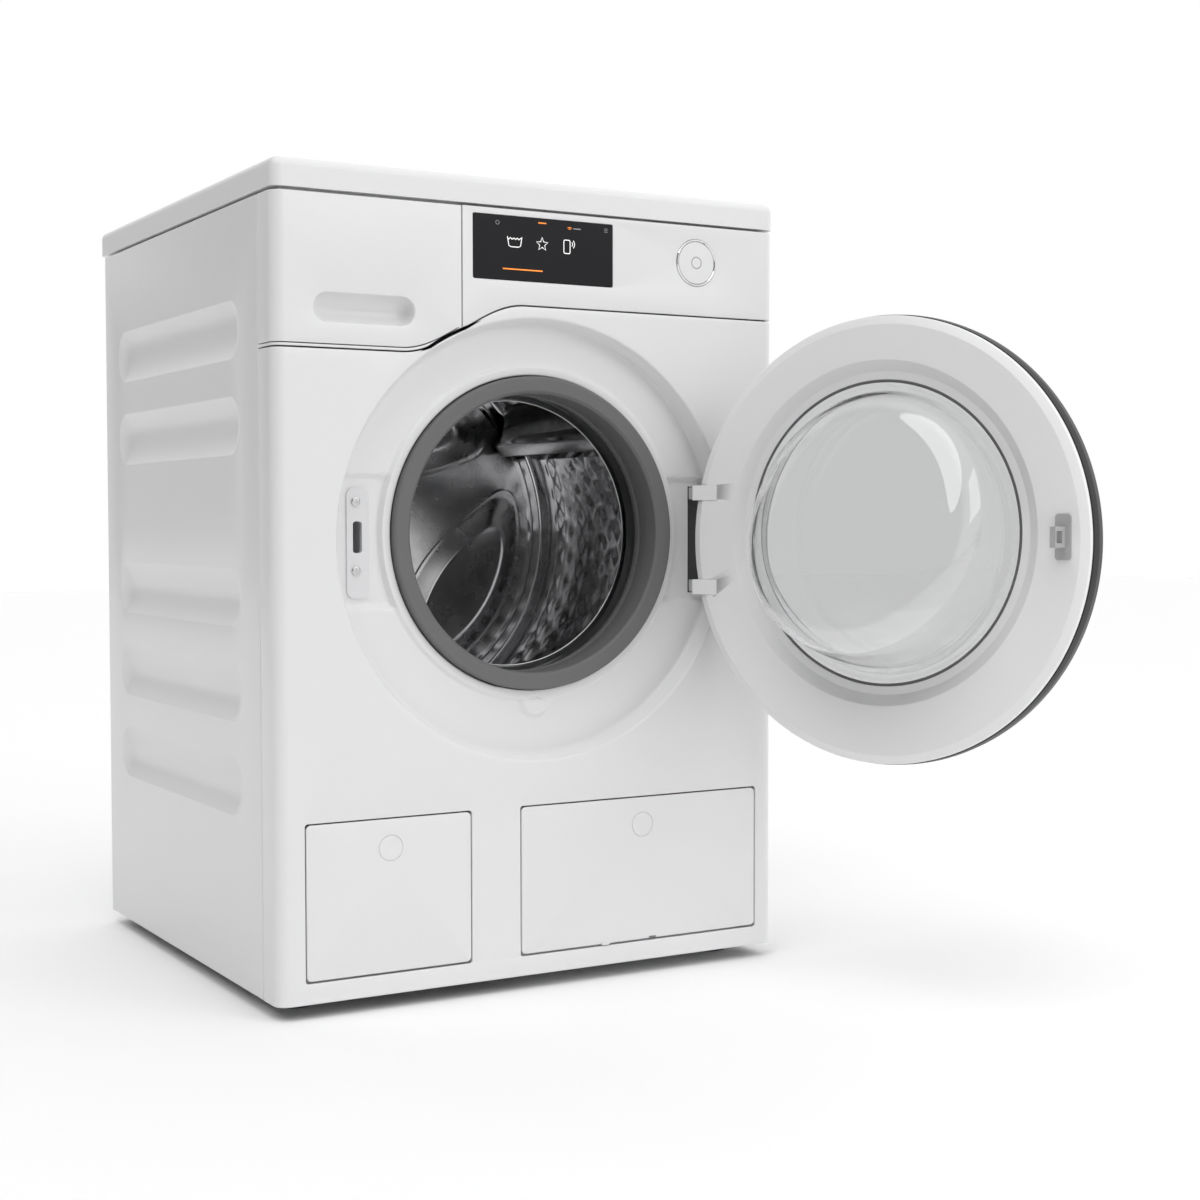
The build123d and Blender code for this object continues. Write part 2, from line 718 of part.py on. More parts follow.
def hanging_spring(side):
    """Coil between the cabinet's hanger and the lug on the tub."""
    with BuildPart() as spring:
        with BuildLine():
            coil = Helix(pitch=9, height=152, radius=11, center=(side * 240, 70, 656))
        with BuildSketch(Plane(coil @ 0, z_dir=coil % 0)):
            Circle(1.8)
        sweep()
    return spring.part


save(hanging_spring(-1), "spring_left")
save(hanging_spring(1), "spring_right")


def damper_cylinder(x):
    with BuildPart() as cylinder:
        post_between(x, 385, 15, (60, 165))
        post_between(x, 385, 11, (66, 161), mode=Mode.SUBTRACT)
        post_between(x, 385, 5.5, (160, 166), mode=Mode.SUBTRACT)
    return cylinder.part


def damper_rod(x):
    with BuildPart() as rod:
        post_between(x, 385, 5, (96, 248))
        post_between(x, 385, 10, (96, 104))
        post_between(x, 385, 9, (244, 252.2))
    return rod.part


save(damper_cylinder(-150), "damper_cylinder_left")
save(damper_cylinder(150), "damper_cylinder_right")
save(damper_rod(-150), "damper_rod_left")
save(damper_rod(150), "damper_rod_right")

# ---------------------------------------------------------------- drum
def lobe(angle, grow):
    """Rounded sector between two arms of the star pressed into the drum's back."""
    tip = 55 - grow / 0.866
    with BuildSketch(at_depth(DRUM_BACK)) as outline:
        with Locations((0, DRUM_Z)):
            Circle(197 + grow)
            Circle(78 - grow, mode=Mode.SUBTRACT)
            Polygon(
                (tip, 0),
                (tip + 250, -433),
                (tip + 250, 433),
                rotation=angle,
                align=None,
                mode=Mode.INTERSECT,
            )
        fillet(outline.vertices(), 20 + grow)
    return outline.sketch


with BuildPart() as drum_shell:
    turned(
        [
            (75, 142.7),
            (75, 152),
            (83, 232),
            (90, DRUM_R),
            (414, DRUM_R),
            (424, 236),
            (DRUM_BACK, 226),
            (DRUM_BACK, 0),
            (DRUM_BACK - DRUM_SHEET, 0),
            (DRUM_BACK - DRUM_SHEET, 225.4),
            (423.2, 234.9),
            (413.6, DRUM_R - DRUM_SHEET),
            (90.5, DRUM_R - DRUM_SHEET),
            (84.2, 231.5),
            (76.2, 151.8),
            (76.2, 142.7),
        ]
    )
    for angle in LIFTER_ANGLES:
        extrude(lobe(angle + 60, 0), amount=8, taper=35)
    for angle in LIFTER_ANGLES:
        extrude(lobe(angle + 60, -DRUM_SHEET), amount=8 - DRUM_SHEET, taper=35, mode=Mode.SUBTRACT)
save(drum_shell.part, "drum_shell")


def lifter(angle):
    """Hollow paddle along the inside of the drum."""
    axis_point = Vector(0, DRUM_Z, 0)
    with BuildPart() as paddle:
        with BuildSketch(at_depth(410)) as section:
            with Locations((0, DRUM_Z)):
                Polygon((244, -44), (187, -9), (187, 9), (244, 44), rotation=angle, align=None)
            fillet(section.vertices().sort_by_distance(axis_point)[:2], 6)
        extrude(amount=316)
        with BuildSketch(at_depth(407)):
            with Locations((0, DRUM_Z)):
                Polygon((248, -42), (191, -6.5), (191, 6.5), (248, 42), rotation=angle, align=None)
        extrude(amount=310, mode=Mode.SUBTRACT)
        rod_between(0, DRUM_Z, DRUM_R - DRUM_SHEET - 0.1, (90, 415), mode=Mode.INTERSECT)
    return paddle.part


save(lifter(LIFTER_ANGLES[0]), "lifter_right")
save(lifter(LIFTER_ANGLES[1]), "lifter_left")
save(lifter(LIFTER_ANGLES[2]), "lifter_lower")

# cast star behind the drum with its shaft
with BuildPart() as drum_spider:
    rod_between(0, DRUM_Z, 46, (430.2, 458))
    with BuildSketch(at_depth(452)):
        with Locations((0, DRUM_Z)):
            for angle in LIFTER_ANGLES:
                Polygon((20, -26), (224, -15), (224, 15), (20, 26), rotation=angle, align=None)
    extrude(amount=21.8)
    rod_between(0, DRUM_Z, SHAFT_R, (440, 508))
    rod_between(0, DRUM_Z, 15, (500, 542))
save(drum_spider.part, "drum_spider")

with BuildPart() as drum_pulley:
    turned(
        [
            (512, 15.06),
            (512, 26),
            (522, 26),
            (522, 128),
            (516, 128),
            (516, PULLEY_R),
            (532, PULLEY_R),
            (532, 128),
            (527, 128),
            (527, 26),
            (536, 26),
            (536, 15.06),
        ]
    )
    with BuildSketch(at_depth(530)):
        with Locations((0, DRUM_Z)):
            with PolarLocations(78, 6):
                Circle(28)
    extrude(amount=12, mode=Mode.SUBTRACT)
save(drum_pulley.part, "drum_pulley")

with BuildPart() as drive_belt:
    for grow, depth, mode in ((3.6, 530, Mode.ADD), (0.4, 531, Mode.SUBTRACT)):
        with BuildSketch(at_depth(depth)) as loop:
            with Locations((0, DRUM_Z)):
                Circle(PULLEY_R + grow)
            with Locations((MOTOR_X, MOTOR_Z)):
                Circle(MOTOR_PULLEY_R + grow)
            make_hull()
        extrude(loop.sketch, amount=depth - 518 + (depth - 530), mode=mode)
save(drive_belt.part, "drive_belt")

with BuildPart() as motor:
    rod_between(MOTOR_X, MOTOR_Z, 52, (405, 490))
    rod_between(MOTOR_X, MOTOR_Z, 40, (395, 500))
    for d in (410, 474):
        box_between((MOTOR_X - 30, MOTOR_X + 30), (d, d + 12), (190, 219))
    rod_between(MOTOR_X, MOTOR_Z, 6 + RUN, (480, 502), mode=Mode.SUBTRACT)
save(motor.part, "motor")

with BuildPart() as motor_pulley:
    rod_between(MOTOR_X, MOTOR_Z, MOTOR_PULLEY_R, (516, 532))
    rod_between(MOTOR_X, MOTOR_Z, 6, (484, 516))
save(motor_pulley.part, "motor_pulley")

# ---------------------------------------------------------------- pump and filter
SHROUD = ((-268, -85), (5, 40), (43, 190))


def flap_clips(xs):
    """Hooks that hold a flap's hinge rod."""
    depth, z = FLAP_AXIS
    for x in xs:
        box_between((x - 3, x + 3), (depth - 0.6, depth + 3), (z - 1.1, z + 3))
        with BuildSketch(Plane.YZ.offset(x - 4)) as bore:
            with Locations((FRONT + depth, z)):
                Circle(1.8 + RUN)
        extrude(bore.sketch, amount=8, mode=Mode.SUBTRACT)


with BuildPart() as pump_housing:
    box_between(*SHROUD)
    box_between((-265, -88), (4, 37), (46, 187), mode=Mode.SUBTRACT)
    rod_between(*PUMP, 41, (38, 122))
    rod_between(*PUMP, 31, (118, 153))
    rod_between(-190, 112, 12, (150, 161))
    with BuildSketch(Plane.YZ.offset(-150)) as port:
        with Locations((FRONT + 100, 112)):
            Circle(22)
    extrude(port.sketch, amount=40)
    post_between(-110, 100, 22, (104, 165.5))
    rod_between(*PUMP, 36, (36, 118), mode=Mode.SUBTRACT)
    rod_between(*PUMP, 27, (110, 150), mode=Mode.SUBTRACT)
    rod_between(-190, 112, 9, (148, 162), mode=Mode.SUBTRACT)
    with BuildSketch(Plane.YZ.offset(-150)) as port:
        with Locations((FRONT + 100, 112)):
            Circle(18)
    extrude(port.sketch, amount=40, mode=Mode.SUBTRACT)
    post_between(-110, 100, 19, (108, 166), mode=Mode.SUBTRACT)
    flap_clips((-240, -112))
save(pump_housing.part, "pump_housing")

with BuildPart() as drain_filter:
    rod_between(*PUMP, 39, (31, 36.7))
    rod_between(*PUMP, 36 - RUN, (36.5, 60))
    rod_between(*PUMP, 30, (59, 108))
    rod_between(*PUMP, 27, (64, 109), mode=Mode.SUBTRACT)
    box_between((PUMP[0] - 31, PUMP[0] + 31), (14, 32), (PUMP[1] - 6, PUMP[1] + 6))
    with BuildSketch(at_depth(100)):
        with Locations(PUMP):
            with PolarLocations(28.5, 10):
                Rectangle(10, 7)
    extrude(amount=30, mode=Mode.SUBTRACT)
save(drain_filter.part, "drain_filter")

with BuildPart() as pump_impeller:
    rod_between(*PUMP, 8, (122, 147))
    with BuildSketch(at_depth(146)):
        with Locations(PUMP):
            Rectangle(46, 3)
            Rectangle(3, 46)
    extrude(amount=20)
save(pump_impeller.part, "pump_impeller")

with BuildPart() as drain_hose:
    with BuildLine():
        path = FilletPolyline(
            (-190, FRONT + 161.5, 112),
            (-190, FRONT + 530, 112),
            (-190, FRONT + 530, 765),
            (-190, FRONT + 584, 765),
            radius=28,
        )
    with BuildSketch(Plane(path @ 0, z_dir=path % 0)):
        Circle(10)
        Circle(7.5, mode=Mode.SUBTRACT)
    sweep()
save(drain_hose.part, "drain_hose")

# ---------------------------------------------------------------- dosing bay behind the right flap
with BuildPart() as dosing_housing:
    box_between((-24, 269.5), (5, 235), (43, 190))
    for x0, x1 in ((-21, 121.5), (124.5, 266.5)):
        box_between((x0, x1), (4, 229), (46, 187), mode=Mode.SUBTRACT)
    for x in (50, 195.5):
        rod_between(x, 80, 8, (228, 246))
        rod_between(x, 80, 5, (227, 247), mode=Mode.SUBTRACT)
    flap_clips((10, 235))
save(dosing_housing.part, "dosing_housing")


def cartridge(x0):
    """Refillable bottle with a finger grip and a cap."""
    with BuildPart() as bottle:
        box_between((x0, x0 + 134), (16, 216), (46.5, 176))
        fillet(bottle.edges().filter_by(Axis.Y), 10)
        box_between((x0 + 3, x0 + 131), (19, 213), (49.5, 173), mode=Mode.SUBTRACT)
        box_between((x0 + 42, x0 + 92), (15, 46), (122, 152))
        box_between((x0 + 45, x0 + 89), (14, 43), (119, 149), mode=Mode.SUBTRACT)
        post_between(x0 + 67, 90, 22, (172, 184))
    return bottle.part


save(cartridge(-16.5), "cartridge_left")
save(cartridge(128.5), "cartridge_right")


# ---------------------------------------------------------------- flaps
def flap(span, press_x, clips, tabs):
    """Plate that tips forward round a rod near its lower edge."""
    depth, axis_z = FLAP_AXIS
    x0, x1 = span
    with BuildPart() as plate:
        with BuildSketch(at_depth(3)):
            with Locations(((x0 + x1) / 2, (FLAP_Z[0] + FLAP_Z[1]) / 2)):
                RectangleRounded(x1 - x0, FLAP_Z[1] - FLAP_Z[0], 5)
            for x in tabs:
                with Locations((x, FLAP_Z[0])):
                    Rectangle(9, 5, mode=Mode.SUBTRACT)
        extrude(amount=3)
        groove = [(-0.1, 12.3), (0.6, 12.7), (0.6, 13.3), (-0.1, 13.7)]
        turned(groove, z=164, x=press_x, mode=Mode.SUBTRACT)
        stops = [x0 + 6] + [x for clip in clips for x in (clip - 4, clip + 4)] + [x1 - 6]
        for a, b in zip(stops[::2], stops[1::2]):
            box_between((a, b), (2.8, depth), (axis_z - 1.5, axis_z + 1.5))
        with BuildSketch(Plane.YZ.offset(x0 + 6)) as rod:
            with Locations((FRONT + depth, axis_z)):
                Circle(1.8)
        extrude(rod.sketch, amount=x1 - x0 - 12)
    return plate.part


save(flap(FLAP_LEFT, -176, (-240, -112), ()), "flap_left")
save(flap(FLAP_RIGHT, 123, (10, 235), (76, 136)), "flap_right")


# ---------------------------------------------------------------- feet
def foot(x, y):
    with BuildPart() as stand:
        post_between(x, y - FRONT, 20, (0, 6))
        fillet(stand.edges().group_by(Axis.Z)[-1], 2.5)
        post_between(x, y - FRONT, 5, (5, 41.5))
        with BuildSketch(Plane.XY.offset(13)):
            with Locations((x, y)):
                RegularPolygon(9, 6)
        extrude(amount=6)
    return stand.part


for name, place in zip(
    ("foot_front_left", "foot_rear_left", "foot_front_right", "foot_rear_right"), FEET
):
    save(foot(*place), name)
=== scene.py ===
"""Looks of the front load washing machine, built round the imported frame."""
import json
import math

import bmesh
import bpy
from mathutils import Matrix, Vector


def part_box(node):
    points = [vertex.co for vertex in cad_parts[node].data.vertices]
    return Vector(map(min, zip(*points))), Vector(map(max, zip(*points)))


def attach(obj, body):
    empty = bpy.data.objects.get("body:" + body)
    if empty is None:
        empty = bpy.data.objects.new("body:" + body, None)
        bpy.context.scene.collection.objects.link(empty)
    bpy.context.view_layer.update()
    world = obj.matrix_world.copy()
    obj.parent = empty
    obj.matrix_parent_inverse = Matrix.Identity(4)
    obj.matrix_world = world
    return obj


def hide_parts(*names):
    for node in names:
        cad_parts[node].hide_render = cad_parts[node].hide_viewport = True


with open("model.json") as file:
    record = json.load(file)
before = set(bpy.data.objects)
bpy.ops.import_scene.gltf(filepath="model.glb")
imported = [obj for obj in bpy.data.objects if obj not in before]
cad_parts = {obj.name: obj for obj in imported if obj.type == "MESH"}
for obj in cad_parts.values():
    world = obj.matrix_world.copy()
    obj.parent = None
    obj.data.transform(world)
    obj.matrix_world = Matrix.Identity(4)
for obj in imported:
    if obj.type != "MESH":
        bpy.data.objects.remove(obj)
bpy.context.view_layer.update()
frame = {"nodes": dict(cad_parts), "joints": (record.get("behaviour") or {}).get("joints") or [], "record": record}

MM = 0.001


# ---------------------------------------------------------------- places taken from the frame
# The builder functions work in mm from MIDDLE, the floor point under the middle of the lid.
lid_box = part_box("top_lid")
MIDDLE = Vector(((lid_box[0].x + lid_box[1].x) / 2, (lid_box[0].y + lid_box[1].y) / 2, 0))


def mm_box(node):
    low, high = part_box(node)
    return (low - MIDDLE) / MM, (high - MIDDLE) / MM


def joint(name):
    return next(j for j in frame["joints"] if j["name"] == name)


panel_low, panel_high = mm_box("front_panel")
side_low, side_high = mm_box("side_panel_left")
display_low, display_high = mm_box("display_window")
ring_low, ring_high = mm_box("button_ring")
drawer_high = mm_box("drawer_front")[1]
FRONT = panel_low.y
HALF = panel_high.x
SKIRT_Z = panel_low.z
BODY_TOP = mm_box("control_fascia")[1].z
DRUM_Z = joint("drum_spin")["pos_m"][2] / MM
HINGE = (Vector(joint("door_hinge")["pos_m"]) - MIDDLE) / MM
OPEN = math.radians(-joint("door_hinge")["range_deg"][0])
DOOR_Z = HINGE.z
CORNER = 14.0                 # upright front corners
FLAT = HALF - CORNER          # half width of the flat front
ARC = CORNER * math.pi / 2
WRAP = 40.0                   # how far the front skins turn round the sides, from FRONT
BUTTON = ((ring_low.x + ring_high.x) / 2, (ring_low.z + ring_high.z) / 2)
FULL = 2 * math.pi
ROUND = 288                   # steps round the door, its glass seal and the gasket


# ---------------------------------------------------------------- materials
MATERIALS = {}
WHITE = (0.76, 0.76, 0.765)
DOOR_GREY = (0.84, 0.84, 0.845)
DARK = (0.024, 0.024, 0.025)
RUBBER = (0.15, 0.15, 0.152)
LATCH_GREY = (0.42, 0.42, 0.42)


class Nodes:
    """A short way to build one node material."""

    def __init__(self, name):
        self.material = bpy.data.materials.new(name)
        self.material.use_nodes = True
        self.tree = self.material.node_tree
        self.shader = self.tree.nodes["Principled BSDF"]
        self.where = self.add("ShaderNodeTexCoord").outputs["Object"]

    def add(self, kind, **values):
        node = self.tree.nodes.new(kind)
        for key, value in values.items():
            if hasattr(node, key):
                setattr(node, key, value)
            else:
                node.inputs[key.replace("_", " ")].default_value = value
        return node

    def link(self, a, b):
        self.tree.links.new(a, b)

    def set(self, **values):
        for key, value in values.items():
            self.shader.inputs[key.replace("_", " ")].default_value = value

    def noise(self, scale, detail=2.0, stretch=(1, 1, 1), roughness=0.5):
        spread = self.add("ShaderNodeMapping")
        spread.inputs["Scale"].default_value = stretch
        self.link(self.where, spread.inputs["Vector"])
        grain = self.add("ShaderNodeTexNoise", Scale=scale, Detail=detail, Roughness=roughness)
        self.link(spread.outputs["Vector"], grain.inputs["Vector"])
        return grain.outputs["Fac"]

    def ramp(self, fac, low, high, start=0.2, end=0.8):
        """Grey or colour ramp between two values, on a factor."""
        band = self.add("ShaderNodeValToRGB")
        self.link(fac, band.inputs["Fac"])
        for element, position, value in zip(band.color_ramp.elements, (start, end), (low, high)):
            element.position = position
            element.color = (*value, 1) if isinstance(value, tuple) else (value, value, value, 1)
        return band.outputs["Color"]

    def bump(self, height, strength, distance=0.001):
        node = self.add("ShaderNodeBump", Strength=strength, Distance=distance)
        self.link(height, node.inputs["Height"])
        self.link(node.outputs["Normal"], self.shader.inputs["Normal"])
        return node


def tint(slot):
    """The record's colour for a slot."""
    entry = next(m for m in frame["record"]["materials"] if m["slot"] == slot)
    return tuple(entry["base_color"][:3])


def shaded(slot, rough=(0.3, 0.4), grain=400.0, bump=0.02, vary=0.02, colour=None, metal=0.0, **values):
    """Coloured surface with slightly uneven colour, gloss and skin."""
    m = Nodes(slot)
    base = colour or tint(slot)
    patches = m.noise(9.0, 3.0)
    dark = tuple(c * (1 - vary) for c in base)
    m.link(m.ramp(patches, dark, base), m.shader.inputs["Base Color"])
    skin = m.noise(grain, 2.0)
    m.link(m.ramp(m.noise(14.0, 4.0), rough[0], rough[1]), m.shader.inputs["Roughness"])
    if bump:
        m.bump(skin, bump, 0.0006)
    m.set(Metallic=metal, **values)
    MATERIALS[slot] = m.material
    return m


def make_materials():
    shaded("white_steel", (0.3, 0.33), 900.0, 0.015, 0.004, WHITE, Coat_Weight=0.2, Coat_Roughness=0.15)
    shaded("white_plastic", (0.3, 0.34), 1400.0, 0.012, 0.004, WHITE)
    shaded("grey_plastic", (0.34, 0.44), 1600.0, 0.04, 0.008, DOOR_GREY)
    shaded("lock_plastic", (0.4, 0.5), 1600.0, 0.08, 0.03)
    shaded("dark_plastic", (0.3, 0.4), 1200.0, 0.03, 0.08, DARK, Specular_IOR_Level=0.2)
    shaded("display_glass", (0.12, 0.18), 500.0, 0.0, 0.1, Specular_IOR_Level=0.18)
    shaded("bright_chrome", (0.05, 0.1), 300.0, 0.0, 0.02, metal=1.0)
    shaded("hinge_metal", (0.16, 0.24), 700.0, 0.03, 0.03, metal=1.0)
    shaded("screw_steel", (0.22, 0.32), 500.0, 0.05, 0.06, metal=1.0)
    shaded("motor_paint", (0.35, 0.5), 500.0, 0.1, 0.1)
    shaded("black_plastic", (0.4, 0.55), 900.0, 0.12, 0.2)
    shaded("pump_plastic", (0.38, 0.5), 900.0, 0.1, 0.06)
    shaded("tank_plastic", (0.3, 0.42), 900.0, 0.06, 0.03)
    shaded("tub_plastic", (0.45, 0.6), 700.0, 0.15, 0.06)
    shaded("hose_grey", (0.35, 0.5), 700.0, 0.08, 0.06)
    shaded("black_rubber", (0.5, 0.7), 900.0, 0.15, 0.2)
    shaded("grey_rubber", (0.5, 0.62), 1100.0, 0.1, 0.05, RUBBER, Specular_IOR_Level=0.3)
    shaded("cast_aluminium", (0.4, 0.6), 900.0, 0.3, 0.06, metal=1.0)
    concrete = shaded("concrete", (0.8, 0.95), 120.0, 0.6, 0.18)
    concrete.bump(concrete.noise(260.0, 6.0), 0.7, 0.002)
    zinc()
    drum_steel("drum_steel", 0.08, 0.2, 0.03)
    drum_steel("drum_back_steel", 0.2, 0.32, 0.006)
    glass("clear_glass", (0.965, 0.97, 0.97))
    glass("smoked_plastic", (0.66, 0.66, 0.665))


def zinc():
    """Galvanised sheet with its flowery crystals."""
    m = Nodes("zinc_steel")
    cells = m.add("ShaderNodeTexVoronoi", Scale=55.0)
    m.link(m.where, cells.inputs["Vector"])
    base = tint("zinc_steel")
    shades = m.ramp(cells.outputs["Color"], tuple(c * 0.8 for c in base), base, 0.1, 0.9)
    m.link(shades, m.shader.inputs["Base Color"])
    m.link(m.ramp(cells.outputs["Color"], 0.3, 0.5, 0.1, 0.9), m.shader.inputs["Roughness"])
    m.set(Metallic=1.0)
    MATERIALS["zinc_steel"] = m.material


def drum_steel(name, low, high, marks):
    """Bright stainless sheet with faint smears, roughness from low to high, and rolling marks."""
    m = Nodes(name)
    base = tint("drum_steel")
    smear = m.noise(14.0, 5.0, (1, 0.35, 1))
    m.link(m.ramp(smear, tuple(c * 0.82 for c in base), base), m.shader.inputs["Base Color"])
    m.link(m.ramp(m.noise(30.0, 5.0, (1, 0.2, 1)), low, high), m.shader.inputs["Roughness"])
    m.bump(m.noise(900.0, 2.0, (1, 0.05, 1)), marks, 0.0005)
    m.set(Metallic=1.0)
    MATERIALS[name] = m.material


def glass(slot, colour):
    """Clear see-through material, smooth on both sides."""
    m = Nodes(slot)
    tone = m.ramp(m.noise(6.0, 2.0), colour, tuple(c * 0.985 for c in colour))
    m.link(tone, m.shader.inputs["Base Color"])
    m.set(Roughness=0.0, Transmission_Weight=1.0, IOR=1.5)
    MATERIALS[slot] = m.material


# ---------------------------------------------------------------- mesh helpers
def swing(point):
    """Moves a point of the shut door to where the door stands open."""
    x, y, z = point
    dx, dy = x - HINGE.x, y - HINGE.y
    c, s = math.cos(OPEN), math.sin(OPEN)
    return (HINGE.x + c * dx - s * dy, HINGE.y + s * dx + c * dy, z)


def soft(corners, closed=False, steps=5, even=False):
    """Polyline through (u, v, radius) corners, each rounded to its radius."""
    points = []
    count = len(corners)
    for i, (u, v, radius) in enumerate(corners):
        here = Vector((u, v))
        if radius == 0 or (not closed and i in (0, count - 1)):
            points.append(here)
            continue
        back = Vector(corners[i - 1][:2]) - here
        on = Vector(corners[(i + 1) % count][:2]) - here
        half = back.angle(on) / 2
        if half > math.radians(88):
            points += [here] * (steps + 1 if even else 1)
            continue
        reach = min(radius / math.tan(half), back.length * 0.49, on.length * 0.49)
        spread = reach * math.tan(half)
        centre = here + (back.normalized() + on.normalized()).normalized() * (reach / math.cos(half))
        first = here + back.normalized() * reach - centre
        last = here + on.normalized() * reach - centre
        turn = math.atan2(first.cross(last), first.dot(last))
        for k in range(steps + 1):
            points.append(centre + Matrix.Rotation(turn * k / steps, 2) @ first.normalized() * spread)
    return [(p.x, p.y) for p in points]


def ring(depth, radius, centre_z=DRUM_Z, centre_x=0.0, count=192):
    """Circle facing the front."""
    return [
        (
            centre_x + radius * math.sin(FULL * k / count),
            FRONT + depth,
            centre_z + radius * math.cos(FULL * k / count),
        )
        for k in range(count)
    ]


def strips(rings, closed=False, around=True):
    """Faces between neighbouring rings of equal count, as (points, faces)."""
    count = len(rings[0])
    points = [p for r in rings for p in r]
    faces = []
    pairs = len(rings) if closed else len(rings) - 1
    for i in range(pairs):
        a, b = i * count, (i + 1) % len(rings) * count
        for k in range(count if around else count - 1):
            n = (k + 1) % count
            faces.append((a + k, a + n, b + n, b + k))
    return points, faces


def turned(profile, centre_z=DRUM_Z, centre_x=0.0, count=192, closed=False):
    """Surface of revolution about a line along Y; profile is (depth, radius) points."""
    return strips([ring(d, r, centre_z, centre_x, count) for d, r in profile], closed)


def piece(name, shape, body, finish, replaces=(), angle=28.0, door=False):
    """Makes one object of (points, faces) in mm and puts it on its body."""
    points, faces = shape
    if door:
        points = [swing(p) for p in points]
    mesh = bpy.data.meshes.new(name)
    mesh.from_pydata([Vector(p) * MM + MIDDLE for p in points], [], faces)
    bm = bmesh.new()
    bm.from_mesh(mesh)
    bmesh.ops.remove_doubles(bm, verts=bm.verts, dist=2e-6)
    bmesh.ops.recalc_face_normals(bm, faces=bm.faces)
    bm.to_mesh(mesh)
    bm.free()
    mesh.shade_smooth()
    mesh.set_sharp_from_angle(angle=math.radians(angle))
    obj = bpy.data.objects.new(name, mesh)
    bpy.context.scene.collection.objects.link(obj)
    mesh.materials.append(MATERIALS[finish])
    if replaces:
        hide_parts(*replaces)
    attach(obj, body)
    return obj


def joined(*shapes):
    """Several (points, faces) as one."""
    points, faces = [], []
    for more_points, more_faces in shapes:
        start = len(points)
        points += more_points
        faces += [tuple(start + i for i in face) for face in more_faces]
    return points, faces


def offset_loop(loop, inset):
    """A closed counter-clockwise loop moved inwards by inset."""
    moved = []
    count = len(loop)
    for i, (u, v) in enumerate(loop):
        before = Vector((u - loop[i - 1][0], v - loop[i - 1][1]))
        after = Vector((loop[(i + 1) % count][0] - u, loop[(i + 1) % count][1] - v))
        if before.length < 1e-6 or after.length < 1e-6:
            before = after = before + after
        a = Vector((-before.y, before.x)).normalized()
        b = Vector((-after.y, after.x)).normalized()
        middle = (a + b).normalized()
        reach = inset / max(0.5, middle.dot(a))
        moved.append((u + middle.x * reach, v + middle.y * reach))
    return moved


def rounded_loop(u0, u1, v0, v1, radius, steps=6):
    """Counter-clockwise rectangle with round corners."""
    corners = [(u0, v0, radius), (u1, v0, radius), (u1, v1, radius), (u0, v1, radius)]
    return soft(corners, closed=True, steps=steps)


def circle_loop(u, v, radius, count=192):
    """Counter-clockwise circle, starting at the top like ring()."""
    angles = [FULL * k / count for k in range(count)]
    return [(u - radius * math.sin(a), v + radius * math.cos(a)) for a in angles]


def pressed(loop, profile, capped=True):
    """Rings of a loop for (inset, depth) points, closed in the middle."""
    rings = [[(u, d, v) for u, v in offset_loop(loop, inset)] for inset, d in profile]
    points, faces = strips(rings)
    if capped:
        last = (len(rings) - 1) * len(loop)
        faces.append(tuple(range(last, last + len(loop))))
    return points, faces


def edge_profile(radius, wall, steps=4):
    """(inset, depth) of a rounded edge, from the face to the end of its wall."""
    curve = [
        (radius * (1 - math.sin(math.pi / 2 * k / steps)), radius * (1 - math.cos(math.pi / 2 * k / steps)))
        for k in range(steps + 1)
    ]
    return curve + [(0.0, wall)]


def plate(outer, holes=(), open_holes=(), radius=1.0, wall=6.0, bends=()):
    """Flat sheet in (u, depth, v) with its edges and holes rounded, cut at the bends to be wrapped."""
    bm = bmesh.new()

    def loop_edges(points, depth=0.0):
        verts = [bm.verts.new((u, depth, v)) for u, v in points]
        return verts, [bm.edges.new((verts[i - 1], verts[i])) for i in range(len(verts))]

    rim = []
    for loop, sign in [(outer, 1)] + [(h, -1) for h in holes]:
        rings = []
        for inset, depth in edge_profile(radius, wall):
            rings.append([bm.verts.new((u, depth, v)) for u, v in offset_loop(loop, inset * sign)])
        for a, b in zip(rings, rings[1:]):
            for i in range(len(a)):
                bm.faces.new((a[i - 1], a[i], b[i], b[i - 1]))
        rim += [bm.edges.get((rings[0][i - 1], rings[0][i])) for i in range(len(rings[0]))]
    for loop in open_holes:
        rim += loop_edges(loop)[1]
    bmesh.ops.triangle_fill(bm, use_beauty=True, edges=rim)
    for u in bends:
        geometry = bm.verts[:] + bm.edges[:] + bm.faces[:]
        bmesh.ops.bisect_plane(bm, geom=geometry, plane_co=(u, 0, 0), plane_no=(1, 0, 0), dist=1e-5)
    bm.verts.index_update()
    points = [tuple(v.co) for v in bm.verts]
    faces = [tuple(v.index for v in f.verts) for f in bm.faces]
    bm.free()
    return points, faces


BENDS = [s * (FLAT + ARC * k / 8) for s in (-1, 1) for k in range(9)]


def wrapped(shape):
    """Bends (u, depth, v) round the upright front corners."""
    points = []
    for u, d, v in shape[0]:
        side = 1 if u > 0 else -1
        beyond = abs(u) - FLAT
        if beyond <= 0:
            points.append((u, FRONT + d, v))
        elif beyond < ARC:
            a = beyond / CORNER
            r = CORNER - d
            points.append((side * (FLAT + r * math.sin(a)), FRONT + CORNER - r * math.cos(a), v))
        else:
            points.append((side * (HALF - d), FRONT + CORNER + beyond - ARC, v))
    return points, shape[1]


def straight(shape):
    """Stands (u, depth, v) upright at the front without bending it."""
    return [(u, FRONT + d, v) for u, d, v in shape[0]], shape[1]


def smooth_step(value, low, high):
    """0 below low, 1 above high, an S curve between."""
    t = min(1.0, max(0.0, (value - low) / (high - low)))
    return t * t * (3 - 2 * t)


